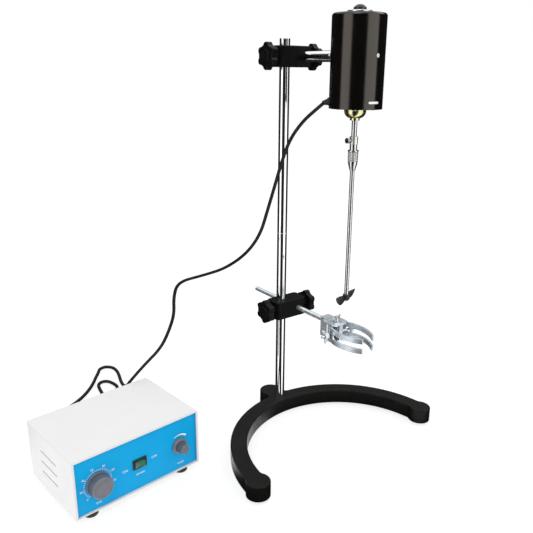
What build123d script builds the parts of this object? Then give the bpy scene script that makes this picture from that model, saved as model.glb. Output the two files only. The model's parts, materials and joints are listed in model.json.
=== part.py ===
from build123d import *
import math
import os

# Overhead stirrer with its stand, flask clamp and speed controller. Millimetres, +Z up.
# The origin is on the bench, under the middle of the whole outfit's footprint.
# The base opens towards -Y. The column stands at its back, and the controller at its left.

# Place of the column on the bench, and the controller's place from it
column_x = 113.0
column_y = 44.0
case_corner_x = -402.9
case_corner_y = -81.5
case_yaw = 5.8

# Base: an open ring of cast iron with a lobe at each end and one behind the column
base_low = 4.0
base_thick = 24.0
ring_radius = 173.0
ring_band = 26.0
ring_setback = 178.0
lobe_radius = 18.0
lobe_forward = 4.0
back_lobe_radius = 19.0
back_lobe_reach = 27.0
back_neck_width = 26.0
lobe_blend = 9.0
base_edge = 2.5
foot_radius = 9.5
foot_pin_radius = 4.0
foot_pin_height = 8.0
push_clearance = 0.05

# Column: two screwed sections
column_radius = 8.0
section_length = 300.0
spigot_radius = 6.0
spigot_end = 5.0
column_chamfer = 0.7
stud_radius = 5.0
stud_length = 18.0
stud_gap = 2.0
nut_recess_radius = 15.0
nut_recess_depth = 12.0
nut_across_flats = 19.0
nut_thick = 8.0
washer_radius = 13.5
washer_thick = 2.0
thread_clearance = 0.05

# Boss heads: the column bore, and a rod bore that crosses it
head_below_top = 26.0
lower_head_z = 195.5
head_pitch = 24.0
head_end = 19.0
head_depth = 32.0
head_height = 31.0
head_corner = 6.0
head_edge = 2.0
slide_clearance = 0.08
hub_boss_radius = 10.0
hub_boss_length = 2.5

# Star knobs, moulded on their screws
knob_face = 37.0
knob_thick = 10.0
knob_radius = 20.0
knob_lobes = 6
knob_lobe_radius = 5.6
knob_root_radius = 16.4
knob_hub_radius = 8.0
knob_hub_length = 4.0
knob_cap_radius = 9.0
knob_cap_height = 1.2
knob_edge = 1.4
screw_radius = 4.0
screw_seat = 0.3

# Motor: its shell, arm and ends
motor_reach = 132.0
motor_radius = 37.5
motor_below_arm = 70.5
motor_height = 125.0
shell_wall = 2.0
shell_edge = 4.0
arm_radius = 8.0
arm_tail = 26.0
arm_thread_radius = 6.0
arm_thread_in = 4.5
arm_nut_flats = 20.0
arm_nut_thick = 5.5
arm_boss_radius = 13.0
arm_boss_out = 5.0
arm_chamfer = 1.0
vent_count = 6
vent_length = 14.0
vent_width = 3.5
vent_up = 9.5
rivet_radius = 2.8
rivet_head = 1.2
end_plate_thick = 3.0
end_screw_count = 4
end_screw_ring = 24.0
end_screw_radius = 1.5
end_screw_head = 2.7
end_screw_head_thick = 1.8
bowl_radius = 15.5
bowl_low_radius = 7.0
bowl_depth = 16.1
bowl_rim = 4.0
bowl_lip = 2.6
bowl_curve = 10.5
cap_radius = 17.0
cap_thick = 3.6
cap_cup_radius = 10.5
cap_cup_depth = 12.0
dome_radius = 8.8
dome_height = 7.8
dome_skirt = 3.2

# Motor: inside
shaft_radius = 4.0
shaft_rise = 119.0
shaft_out = 47.5
running_clearance = 0.03
bearing_outer_top = 8.5
bearing_outer_low = 8.5
bearing_thick = 6.0
low_bearing_up = 5.0
stator_up = 21.5
stator_height = 37.0
stator_bore = 21.2
coil_outer = 30.0
coil_inner = 22.5
coil_height = 8.8
rotor_radius = 20.6
rotor_slots = 12
rotor_slot_width = 2.4
rotor_slot_depth = 5.0
commutator_radius = 11.0
commutator_up = 80.5
commutator_height = 11.0
brush_width = 7.0
brush_reach = 24.0
brush_gap = 0.15
brush_plate_thick = 3.0
brush_plate_bore = 15.0
seat_gap = 0.2

# Shaft coupling, chuck, rod and paddle
collar_radius = 6.2
collar_height = 11.3
thumb_screw_radius = 1.5
thumb_head_radius = 4.0
thumb_head_thick = 3.0
thumb_head_reach = 14.0
neck_radius = 5.5
neck_height = 8.5
flange_radius = 8.0
flange_thick = 1.5
sleeve_radius = 7.5
sleeve_height = 14.0
sleeve_core = 5.0
sleeve_flutes = 20
flute_radius = 0.7
nose_radius = 6.9
nose_straight = 2.6
nose_height = 10.4
nose_tip = 4.8
jaw_reach = 2.4
jaw_ring = 1.1
jaw_slit = 1.2
rod_radius = 3.3
rod_length = 226.2
rod_grip = 22.0
paddle_hub_radius = 5.4
paddle_hub_height = 9.0
paddle_hub_up = 2.0
paddle_span = 54.0
paddle_turn = 17.0
blade_root_chord = 9.0
blade_wide_chord = 15.0
blade_tip_chord = 8.0
blade_thick = 1.8
blade_root_pitch = 50.0
blade_tip_pitch = 24.0

# Flask clamp on the lower head
clamp_rod_radius = 4.0
clamp_rod_tail = 104.0
clamp_rod_reach = 92.0
grip_drop = 8.5
bracket_y = 84.0
bracket_length = 14.0
bracket_width = 18.0
bracket_top = 8.0
leaf_thick = 3.0
leaf_length = 30.0
leaf_width = 32.0
leaf_corner = 7.0
jaw_height = 24.0
jaw_window = 8.0
jaw_thick = 3.0
jaw_tail_radius = 6.4
jaw_pin_spread = 9.0
jaw_pin_y = 106.0
jaw_pin_radius = 2.5
jaw_side = 23.0
jaw_shoulder_y = 121.0
jaw_shoulder_side = 18.5
jaw_belly_y = 147.0
jaw_tip_y = 182.0
jaw_tip_side = 11.0
jaw_leaf_gap = 0.3
lock_bolt_y = 112.5
lock_bolt_radius = 2.0
cross_bolt_y = 121.0
cross_bolt_radius = 2.0
cross_bolt_side = 34.0
cross_hole_radius = 4.4
bolt_head_radius = 4.0
bolt_head_thick = 2.5
post_width = 7.0
wing_hub_radius = 4.0
wing_hub_height = 6.0
wing_span = 22.0
wing_thick = 2.2
wing_rise = 9.0
side_nut_gap = 5.5

# Controller case
case_width = 200.0
case_depth = 140.0
case_height = 88.0
case_low = 9.0
sheet = 1.5
case_bend = 3.0
lip = 3.0
panel_gap = 0.3
panel_thick = 2.0
slit_count = 3
slit_length = 49.0
slit_width = 2.2
slit_pitch = 16.5
slit_mid_y = 75.5
slit_low_z = 25.5
case_foot_radius = 9.0
case_foot_inset_x = 26.0
case_foot_inset_y = 16.0
case_foot_pin = 2.0
case_screw_head = 3.0
case_screw_inset = 9.0

# Controls on the panel, measured along the panel and up from its foot
timer_x = 35.0
timer_z = 41.0
timer_knob_radius = 17.0
timer_knob_face = 16.0
timer_knob_height = 17.0
timer_ribs = 36
timer_rib_depth = 0.9
timer_case = 38.0
timer_case_depth = 26.0
control_shaft_radius = 3.0
control_shaft_out = 12.0
knob_off_panel = 0.6
speed_from_right = 33.0
speed_x = case_width - speed_from_right
speed_z = 41.0
speed_skirt_radius = 12.0
speed_skirt_height = 4.5
speed_knob_radius = 7.4
speed_knob_height = 17.0
speed_ribs = 20
speed_rib_depth = 0.6
pot_radius = 8.5
pot_depth = 9.0
switch_x = case_width / 2
switch_z = 42.0
bezel_width = 22.0
bezel_height = 15.5
bezel_thick = 2.0
bezel_rim = 2.6
switch_body_width = 19.0
switch_body_height = 12.8
switch_body_depth = 16.0
rocker_gap = 0.35
rocker_half_turn = 8.0
rocker_drop = 7.0
rocker_pin_radius = 1.2
cutout_clearance = 0.2
board_width = 110.0
board_depth = 70.0
board_thick = 1.6
board_up = 8.0
board_off_middle = 10.0
board_x = case_width / 2 + board_off_middle
board_y = 88.0
post_radius = 3.0
post_inset = 6.0
transformer_size = 36.0
heat_sink_thick = 12.0

# Leads: the flat lead between motor and controller, and the mains lead
motor_lead_radius = 2.5
mains_radius = 3.0
gland_base_radius = 5.5
gland_tip_radius = 3.6
lead_gland_length = 14.0
mains_gland_length = 22.0
motor_gland_length = 9.0
motor_gland_droop = 40.0
gland_flange = 2.0
gland_hole_radius = 4.0
gland_in = 3.0
motor_gland_angle = 150.0
lead_socket_from_right = 35.0
lead_socket_x = case_width - lead_socket_from_right
lead_socket_z = 22.0
mains_socket_x = 30.0
mains_socket_z = 20.0
coil_x = -300.0
coil_y = 140.0
coil_mean_radius = 33.0
coil_section = 12.0
plug_length = 34.0
plug_width = 24.0
plug_height = 20.0
plug_nose = 20.0
plug_offset_x = -43.0
plug_offset_y = -42.5
blade_length = 17.0
blade_width_mm = 6.3
blade_gap = 12.7
blade_sheet = 1.5

os.makedirs("parts", exist_ok=True)


def keep(piece, name):
    """Label a finished piece and write it as a STEP file of that name."""
    piece.label = name
    export_step(piece, f"parts/{name}.step")


def spot(x, y, z):
    """Point measured from the column's foot, in the part's frame."""
    return (column_x + x, column_y + y, z)


def level(x, y, z):
    """Horizontal plane through a point measured from the column's foot."""
    return Plane(origin=spot(x, y, z), x_dir=(1, 0, 0), z_dir=(0, 0, 1))


def across(x, y, z, side=1):
    """Plane whose normal runs along X, to the right for side 1 and to the left for side -1."""
    return Plane(origin=spot(x, y, z), x_dir=(0, side, 0), z_dir=(side, 0, 0))


def facing(x, y, z):
    """Plane whose normal runs forward, towards -Y."""
    return Plane(origin=spot(x, y, z), x_dir=(1, 0, 0), z_dir=(0, -1, 0))


def upright(x, y):
    """Plane that holds a turned profile: its X is the radius and its Y is the height above the bench."""
    return Plane(origin=spot(x, y, 0), x_dir=(1, 0, 0), z_dir=(0, -1, 0))


def axis_at(x, y):
    """Vertical axis through a point measured from the column's foot."""
    return Axis(spot(x, y, 0), (0, 0, 1))


def turned(x, y, points):
    """Solid of revolution about a vertical axis, from its profile as (radius, height) points."""
    with BuildPart() as piece:
        with BuildSketch(upright(x, y)):
            with BuildLine():
                Polyline(*points, close=True)
            make_face()
        revolve(axis=axis_at(x, y))
    return piece.part


# Stand
base_top = base_low + base_thick
ring_outer = ring_radius + ring_band / 2
ring_inner = ring_radius - ring_band / 2
lobe_spots = [
    (-ring_radius, -ring_setback + lobe_forward),
    (ring_radius, -ring_setback + lobe_forward),
    (0, back_lobe_reach),
]
lobe_radii = [lobe_radius, lobe_radius, back_lobe_radius]
nut_ceiling = base_low + nut_recess_depth

with BuildPart() as base_casting:
    with BuildSketch(level(0, 0, base_low)):
        with Locations((0, -ring_setback)):
            Circle(ring_outer)
            Circle(ring_inner, mode=Mode.SUBTRACT)
        with Locations((0, -ring_setback - ring_outer / 2)):
            Rectangle(2 * ring_outer, ring_outer, mode=Mode.SUBTRACT)
        for (lobe_x, lobe_y), radius in zip(lobe_spots, lobe_radii):
            with Locations((lobe_x, lobe_y)):
                Circle(radius)
        with Locations((0, back_lobe_reach / 2)):
            Rectangle(back_neck_width, back_lobe_reach)
        offset(amount=lobe_blend)
        offset(amount=-lobe_blend)
    extrude(amount=base_thick)
    fillet(base_casting.edges().group_by(Axis.Z)[-1], radius=base_edge)
    with BuildSketch(level(0, 0, base_low)):
        Circle(nut_recess_radius)
    extrude(amount=nut_recess_depth, mode=Mode.SUBTRACT)
    with BuildSketch(level(0, 0, nut_ceiling)):
        Circle(spigot_radius + thread_clearance)
    extrude(amount=base_thick, mode=Mode.SUBTRACT)
    with BuildSketch(level(0, 0, base_low)):
        with Locations(*lobe_spots):
            Circle(foot_pin_radius)
    extrude(amount=foot_pin_height + push_clearance, mode=Mode.SUBTRACT)
keep(base_casting.part, "base_casting")

with BuildPart() as base_feet:
    with BuildSketch(level(0, 0, 0)):
        with Locations(*lobe_spots):
            Circle(foot_radius)
    extrude(amount=base_low)
    chamfer(base_feet.edges().group_by(Axis.Z)[0], length=1)
    with BuildSketch(level(0, 0, base_low)):
        with Locations(*lobe_spots):
            Circle(foot_pin_radius - push_clearance)
    extrude(amount=foot_pin_height)
keep(base_feet.part, "base_feet")

with BuildPart() as column_nut:
    with BuildSketch(level(0, 0, nut_ceiling - washer_thick)):
        Circle(washer_radius)
        Circle(spigot_radius + thread_clearance, mode=Mode.SUBTRACT)
    extrude(amount=washer_thick)
    with BuildSketch(level(0, 0, nut_ceiling - washer_thick - nut_thick)):
        RegularPolygon(nut_across_flats / 2, 6, major_radius=False)
        Circle(spigot_radius + thread_clearance, mode=Mode.SUBTRACT)
    extrude(amount=nut_thick)
keep(column_nut.part, "column_nut")

joint_z = base_top + section_length
column_top = joint_z + section_length
upper_head_z = column_top - head_below_top
motor_low = upper_head_z - motor_below_arm
shaft_top = motor_low + shaft_rise
shaft_low = motor_low - shaft_out
stator_low = motor_low + stator_up
commutator_low = motor_low + commutator_up

with BuildPart() as lower_column:
    with BuildSketch(level(0, 0, base_top)):
        Circle(column_radius)
    extrude(amount=section_length)
    chamfer(lower_column.edges().group_by(Axis.Z)[-1], length=column_chamfer)
    with BuildSketch(level(0, 0, spigot_end)):
        Circle(spigot_radius)
    extrude(amount=base_top - spigot_end)
    with BuildSketch(level(0, 0, joint_z)):
        Circle(stud_radius + thread_clearance)
    extrude(amount=-(stud_length + stud_gap), mode=Mode.SUBTRACT)
keep(lower_column.part, "lower_column")

with BuildPart() as upper_column:
    with BuildSketch(level(0, 0, joint_z)):
        Circle(column_radius)
    extrude(amount=section_length)
    chamfer(upper_column.edges().filter_by(GeomType.CIRCLE), length=column_chamfer)
    with BuildSketch(level(0, 0, joint_z)):
        Circle(stud_radius)
    extrude(amount=-stud_length)
keep(upper_column.part, "upper_column")


# Boss heads and their star knobs
def boss_head(height, bore_radius):
    """Cast double clamp: the column runs up through it, and a rod crosses it to the right."""
    right_end = head_pitch + head_end
    with BuildPart() as head:
        with BuildSketch(level((right_end - head_end) / 2, 0, height - head_height / 2)):
            RectangleRounded(right_end + head_end, head_depth, head_corner)
        extrude(amount=head_height)
        fillet(head.edges().group_by(Axis.Z)[-1], radius=head_edge)
        fillet(head.edges().group_by(Axis.Z)[0], radius=head_edge)
        for end_x, side in ((-head_end, -1), (right_end, 1)):
            with BuildSketch(across(end_x, 0, height, side)):
                Circle(hub_boss_radius)
            extrude(amount=hub_boss_length)
        with BuildSketch(level(0, 0, height - head_height)):
            Circle(column_radius + slide_clearance)
        extrude(amount=2 * head_height, mode=Mode.SUBTRACT)
        with BuildSketch(facing(head_pitch, head_depth, height)):
            Circle(bore_radius + slide_clearance)
        extrude(amount=2 * head_depth, mode=Mode.SUBTRACT)
        for start_x, side in ((0, -1), (head_pitch, 1)):
            with BuildSketch(across(start_x, 0, height, side)):
                Circle(screw_radius + thread_clearance)
            extrude(amount=2 * head_end, mode=Mode.SUBTRACT)
    return head.part


def star_knob(rod_x, held_radius, height, side):
    """Star knob with its clamping screw, on the left (side -1) or right (side 1) of the rod it holds."""
    tip = held_radius + screw_seat
    hub_start = knob_face - knob_thick - knob_hub_length
    with BuildPart() as knob:
        with BuildSketch(across(rod_x + side * tip, 0, height, side)):
            Circle(screw_radius)
        extrude(amount=hub_start - tip)
        with BuildSketch(across(rod_x + side * hub_start, 0, height, side)):
            Circle(knob_hub_radius)
        extrude(amount=knob_hub_length)
        with BuildSketch(across(rod_x + side * (knob_face - knob_thick), 0, height, side)) as star:
            Circle(knob_root_radius)
            with PolarLocations(knob_radius - knob_lobe_radius, knob_lobes, start_angle=90):
                Circle(knob_lobe_radius)
            fillet(star.vertices(), radius=knob_lobe_radius / 2)
        extrude(amount=knob_thick)
        fillet(knob.faces().sort_by(Axis.X)[-1 if side > 0 else 0].edges(), radius=knob_edge)
        with BuildSketch(across(rod_x + side * knob_face, 0, height, side)):
            Circle(knob_cap_radius)
        extrude(amount=knob_cap_height, taper=20)
    return knob.part


for level_name, head_z, crossing_radius, rod_name in (
    ("upper", upper_head_z, arm_radius, "arm"),
    ("lower", lower_head_z, clamp_rod_radius, "rod"),
):
    keep(boss_head(head_z, crossing_radius), f"{level_name}_head")
    keep(star_knob(0, column_radius, head_z, -1), f"{level_name}_column_knob")
    keep(star_knob(head_pitch, crossing_radius, head_z, 1), f"{level_name}_{rod_name}_knob")


# Motor
motor_x = head_pitch
motor_y = -motor_reach
motor_top = motor_low + motor_height
arm_boss_face = motor_y + motor_radius + arm_boss_out
arm_shoulder = arm_boss_face + arm_nut_thick
arm_thread_end = motor_y + motor_radius - arm_thread_in
gland_angle = math.radians(motor_gland_angle)
gland_way = (math.cos(gland_angle), math.sin(gland_angle), 0)
gland_z = motor_low + vent_up

with BuildPart() as motor_arm:
    with BuildSketch(facing(motor_x, arm_tail, upper_head_z)):
        Circle(arm_radius)
    extrude(amount=arm_tail - arm_shoulder)
    chamfer(motor_arm.edges().filter_by(GeomType.CIRCLE), length=arm_chamfer)
    with BuildSketch(facing(motor_x, arm_shoulder, upper_head_z)):
        Circle(arm_thread_radius)
    extrude(amount=arm_shoulder - arm_thread_end)
keep(motor_arm.part, "motor_arm")

with BuildPart() as arm_lock_nut:
    with BuildSketch(facing(motor_x, arm_shoulder, upper_head_z)):
        RegularPolygon(arm_nut_flats / 2, 6, major_radius=False)
        Circle(arm_thread_radius + thread_clearance, mode=Mode.SUBTRACT)
    extrude(amount=arm_nut_thick)
keep(arm_lock_nut.part, "arm_lock_nut")

with BuildPart() as motor_housing:
    with BuildSketch(level(motor_x, motor_y, motor_low)):
        Circle(motor_radius)
    extrude(amount=motor_height)
    fillet(motor_housing.edges().group_by(Axis.Z)[-1], radius=shell_edge)
    with BuildSketch(facing(motor_x, arm_boss_face, upper_head_z)):
        Circle(arm_boss_radius)
    extrude(amount=arm_boss_out + motor_radius / 2)
    with BuildSketch(level(motor_x, motor_y, motor_low)):
        Circle(motor_radius - shell_wall)
    extrude(amount=motor_height - shell_wall, mode=Mode.SUBTRACT)
    with BuildSketch(level(motor_x, motor_y, motor_top)):
        Circle(cap_cup_radius + push_clearance)
    extrude(amount=-2 * shell_wall, mode=Mode.SUBTRACT)
    with BuildSketch(facing(motor_x, arm_boss_face, upper_head_z)):
        Circle(arm_thread_radius + thread_clearance)
    extrude(amount=arm_boss_out + 2 * shell_wall + 2, mode=Mode.SUBTRACT)
    with BuildSketch(facing(motor_x, motor_y, upper_head_z)):
        Circle(end_screw_radius + thread_clearance)
    extrude(amount=motor_radius + shell_wall, mode=Mode.SUBTRACT)
    for step in range(vent_count):
        turn = math.radians(270 + step * 360 / vent_count)
        out = (math.cos(turn), math.sin(turn), 0)
        side = (-math.sin(turn), math.cos(turn), 0)
        with BuildSketch(Plane(origin=spot(motor_x, motor_y, motor_low + vent_up), x_dir=side, z_dir=out)):
            if math.cos(turn - gland_angle) < 0.9:
                SlotOverall(vent_length, vent_width)
            else:
                Circle(gland_hole_radius)
        extrude(amount=motor_radius + shell_wall, mode=Mode.SUBTRACT)
keep(motor_housing.part, "motor_housing")

front_y = motor_y - motor_radius
with BuildPart() as front_screw:
    with BuildSketch(facing(motor_x, front_y + shell_wall + 1, upper_head_z)):
        Circle(end_screw_radius)
    extrude(amount=shell_wall + 1)
    with BuildSketch(facing(motor_x, front_y, upper_head_z)):
        Circle(rivet_radius)
    extrude(amount=rivet_head)
    fillet(front_screw.edges().group_by(Axis.Y)[0], radius=rivet_head / 2)
keep(front_screw.part, "front_screw")

plate_top = motor_low + end_plate_thick
with BuildPart() as lower_end_plate:
    with BuildSketch(level(motor_x, motor_y, motor_low)):
        Circle(motor_radius - shell_wall - push_clearance)
        Circle(bowl_radius - bowl_lip, mode=Mode.SUBTRACT)
        with PolarLocations(end_screw_ring, end_screw_count, start_angle=45):
            Circle(end_screw_radius + thread_clearance, mode=Mode.SUBTRACT)
    extrude(amount=end_plate_thick)
keep(lower_end_plate.part, "lower_end_plate")

with BuildPart() as end_plate_screws:
    with BuildSketch(level(motor_x, motor_y, motor_low - end_screw_head_thick)):
        with PolarLocations(end_screw_ring, end_screw_count, start_angle=45):
            Circle(end_screw_head)
    extrude(amount=end_screw_head_thick)
    chamfer(end_plate_screws.edges().group_by(Axis.Z)[0], length=0.5)
    with BuildSketch(level(motor_x, motor_y, motor_low)):
        with PolarLocations(end_screw_ring, end_screw_count, start_angle=45):
            Circle(end_screw_radius)
    extrude(amount=end_plate_thick + 1)
keep(end_plate_screws.part, "end_plate_screws")

bowl_low = motor_low - bowl_depth
low_bearing_z = bowl_low + low_bearing_up
with BuildPart() as bearing_housing:
    with BuildSketch(upright(motor_x, motor_y)):
        with BuildLine():
            seat_r = bearing_outer_low + running_clearance
            open_r = shaft_radius + 0.6
            rim_z = motor_low - bowl_rim
            Polyline(
                (open_r, bowl_low), (open_r, low_bearing_z), (seat_r, low_bearing_z), (seat_r, motor_low),
                (bowl_radius, motor_low), (bowl_radius, rim_z),
            )
            throat = (bowl_low_radius, bowl_low + 3)
            RadiusArc((bowl_radius, rim_z), throat, bowl_curve)
            Polyline(throat, (bowl_low_radius, bowl_low), (open_r, bowl_low))
        make_face()
    revolve(axis=axis_at(motor_x, motor_y))
keep(bearing_housing.part, "bearing_housing")

cap_low = motor_top - cap_cup_depth
top_bearing_z = cap_low + 1.5
with BuildPart() as top_bearing_cap:
    with BuildSketch(level(motor_x, motor_y, motor_top)):
        Circle(cap_radius)
    extrude(amount=cap_thick)
    fillet(top_bearing_cap.edges().group_by(Axis.Z)[-1], radius=1.2)
    with BuildSketch(level(motor_x, motor_y, motor_top)):
        Circle(cap_cup_radius)
    extrude(amount=-cap_cup_depth)
    with BuildSketch(level(motor_x, motor_y, cap_low)):
        Circle(bearing_outer_top + running_clearance)
    extrude(amount=1.5 + bearing_thick, mode=Mode.SUBTRACT)
keep(top_bearing_cap.part, "top_bearing_cap")

cap_top = motor_top + cap_thick
with BuildPart() as top_plug:
    with BuildSketch(upright(motor_x, motor_y)):
        with BuildLine():
            Line((0, cap_top), (dome_radius, cap_top))
            Line((dome_radius, cap_top), (dome_radius, cap_top + dome_skirt))
            rise = dome_height - dome_skirt
            dome_curve = (dome_radius**2 + rise**2) / (2 * rise)
            RadiusArc((dome_radius, cap_top + dome_skirt), (0, cap_top + dome_height), -dome_curve)
            Line((0, cap_top + dome_height), (0, cap_top))
        make_face()
    revolve(axis=axis_at(motor_x, motor_y))
keep(top_plug.part, "top_plug")

with BuildPart() as shaft_bearings:
    for bearing_z, outer in ((low_bearing_z, bearing_outer_low), (top_bearing_z, bearing_outer_top)):
        with BuildSketch(level(motor_x, motor_y, bearing_z)):
            Circle(outer)
            Circle(shaft_radius + running_clearance, mode=Mode.SUBTRACT)
        extrude(amount=bearing_thick)
keep(shaft_bearings.part, "shaft_bearings")

stator_top = stator_low + stator_height
with BuildPart() as stator_core:
    with BuildSketch(level(motor_x, motor_y, stator_low)):
        Circle(motor_radius - shell_wall - push_clearance)
        Circle(stator_bore, mode=Mode.SUBTRACT)
    extrude(amount=stator_height)
keep(stator_core.part, "stator_core")

with BuildPart() as stator_coils:
    for coil_z in (stator_low - seat_gap - coil_height, stator_top + seat_gap):
        with BuildSketch(level(motor_x, motor_y, coil_z)):
            Circle(coil_outer)
            Circle(coil_inner, mode=Mode.SUBTRACT)
        extrude(amount=coil_height)
keep(stator_coils.part, "stator_coils")

with BuildPart() as rotor_core:
    with BuildSketch(level(motor_x, motor_y, stator_low)):
        Circle(rotor_radius)
        Circle(shaft_radius + running_clearance, mode=Mode.SUBTRACT)
        with PolarLocations(rotor_radius - rotor_slot_depth / 2, rotor_slots):
            Rectangle(rotor_slot_depth, rotor_slot_width, mode=Mode.SUBTRACT)
    extrude(amount=stator_height)
keep(rotor_core.part, "rotor_core")

with BuildPart() as commutator:
    with BuildSketch(level(motor_x, motor_y, commutator_low)):
        Circle(commutator_radius)
        Circle(shaft_radius + running_clearance, mode=Mode.SUBTRACT)
    extrude(amount=commutator_height)
keep(commutator.part, "commutator")

brush_mid = (commutator_radius + brush_gap + brush_reach) / 2
with BuildPart() as brushes:
    with BuildSketch(level(motor_x, motor_y, commutator_low + 2)):
        with Locations((-brush_mid, 0), (brush_mid, 0)):
            Rectangle(brush_reach - commutator_radius - brush_gap, brush_width)
        Circle(commutator_radius + brush_gap, mode=Mode.SUBTRACT)
    extrude(amount=commutator_height - 2)
keep(brushes.part, "brushes")

with BuildPart() as brush_plate:
    with BuildSketch(level(motor_x, motor_y, commutator_low + commutator_height + seat_gap)):
        Circle(motor_radius - shell_wall - push_clearance)
        Circle(brush_plate_bore, mode=Mode.SUBTRACT)
    extrude(amount=brush_plate_thick)
keep(brush_plate.part, "brush_plate")


def gland_tip(plane, reach, droop):
    """Plane of a strain relief's open end, which may droop from the way that its seat faces."""
    lean = math.radians(droop)
    way = plane.z_dir * math.cos(lean) - Vector(0, 0, 1) * math.sin(lean)
    nose = (reach - gland_flange) / 2
    middle = plane.origin + plane.z_dir * (gland_flange + nose)
    return Plane(origin=middle + way * nose, x_dir=plane.x_dir, z_dir=way)


def gland(plane, reach, droop=0):
    """Tapered rubber strain relief: its plane lies on the outside of the wall and points outwards."""
    with BuildPart() as piece:
        with BuildSketch(plane.offset(-gland_in)):
            Circle(gland_hole_radius - push_clearance)
        extrude(amount=gland_in)
        with BuildSketch(plane):
            Circle(gland_base_radius)
        extrude(amount=gland_flange)
        with BuildSketch(plane.offset(gland_flange)):
            Circle(gland_base_radius - 1)
        with BuildSketch(gland_tip(plane, reach, droop)):
            Circle(gland_tip_radius)
        loft()
    return piece.part


gland_seat = motor_radius + seat_gap
gland_plane = Plane(
    origin=spot(motor_x + gland_seat * gland_way[0], motor_y + gland_seat * gland_way[1], gland_z),
    x_dir=(-gland_way[1], gland_way[0], 0),
    z_dir=gland_way,
)
keep(gland(gland_plane, motor_gland_length, motor_gland_droop), "motor_gland")

# Spindle: everything that turns with the shaft
collar_top = shaft_low + collar_height - 2
collar_low = collar_top - collar_height
neck_low = collar_low - neck_height
flange_low = neck_low - flange_thick
sleeve_low = flange_low - seat_gap - sleeve_height
nose_top = sleeve_low - seat_gap
nose_low = nose_top - nose_height
rod_top = nose_low + rod_grip
rod_low = rod_top - rod_length
thumb_z = collar_low + collar_height / 2

keep(turned(motor_x, motor_y, [
    (0, shaft_low), (shaft_radius, shaft_low), (shaft_radius, shaft_top), (0, shaft_top),
]), "motor_shaft")

with BuildPart() as coupling_collar:
    with BuildSketch(level(motor_x, motor_y, collar_low)):
        Circle(collar_radius)
    extrude(amount=collar_height)
    chamfer(coupling_collar.edges(), length=0.5)
    with BuildSketch(level(motor_x, motor_y, collar_low)):
        Circle(shaft_radius + running_clearance)
    extrude(amount=collar_height, mode=Mode.SUBTRACT)
    with BuildSketch(across(motor_x, motor_y, thumb_z, -1)):
        Circle(thumb_screw_radius + thread_clearance)
    extrude(amount=collar_radius, mode=Mode.SUBTRACT)
keep(coupling_collar.part, "coupling_collar")

thumb_tip = shaft_radius + screw_seat
with BuildPart() as coupling_thumbscrew:
    with BuildSketch(across(motor_x - thumb_tip, motor_y, thumb_z, -1)):
        Circle(thumb_screw_radius)
    extrude(amount=thumb_head_reach - thumb_head_thick - thumb_tip)
    with BuildSketch(across(motor_x - thumb_head_reach + thumb_head_thick, motor_y, thumb_z, -1)):
        Circle(thumb_head_radius)
        with PolarLocations(thumb_head_radius, 14):
            Circle(0.45, mode=Mode.SUBTRACT)
    extrude(amount=thumb_head_thick)
keep(coupling_thumbscrew.part, "coupling_thumbscrew")

rod_bore = rod_radius + push_clearance
keep(turned(motor_x, motor_y, [
    (0, rod_top + seat_gap), (0, shaft_low - seat_gap), (shaft_radius, shaft_low - seat_gap),
    (shaft_radius, collar_low), (neck_radius, collar_low), (neck_radius, neck_low),
    (flange_radius, neck_low), (flange_radius, flange_low), (sleeve_core, flange_low),
    (sleeve_core, nose_top), (nose_radius, nose_top), (nose_radius, nose_top - nose_straight),
    (nose_tip, nose_low), (rod_bore, nose_low), (rod_bore, rod_top + seat_gap),
]), "chuck_body")

with BuildPart() as chuck_sleeve:
    with BuildSketch(level(motor_x, motor_y, sleeve_low)):
        Circle(sleeve_radius)
        Circle(sleeve_core + running_clearance, mode=Mode.SUBTRACT)
    extrude(amount=sleeve_height)
    rims = chuck_sleeve.edges().filter_by(GeomType.CIRCLE)
    chamfer(rims.filter_by(lambda rim: rim.radius > sleeve_core + 1), length=0.6)
    with BuildSketch(level(motor_x, motor_y, sleeve_low)):
        with PolarLocations(sleeve_radius, sleeve_flutes):
            Circle(flute_radius)
    extrude(amount=sleeve_height, mode=Mode.SUBTRACT)
keep(chuck_sleeve.part, "chuck_sleeve")

with BuildPart() as chuck_jaws:
    with BuildSketch(level(motor_x, motor_y, nose_low - jaw_reach)):
        Circle(rod_bore + jaw_ring)
        Circle(rod_bore, mode=Mode.SUBTRACT)
        with PolarLocations(rod_bore + jaw_ring / 2, 3):
            Rectangle(2 * jaw_ring, jaw_slit, mode=Mode.SUBTRACT)
    extrude(amount=jaw_reach)
keep(chuck_jaws.part, "chuck_jaws")

with BuildPart() as stirring_rod:
    with BuildSketch(level(motor_x, motor_y, rod_low)):
        Circle(rod_radius)
    extrude(amount=rod_top - rod_low)
    chamfer(stirring_rod.edges(), length=0.5)
keep(stirring_rod.part, "stirring_rod")

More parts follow.
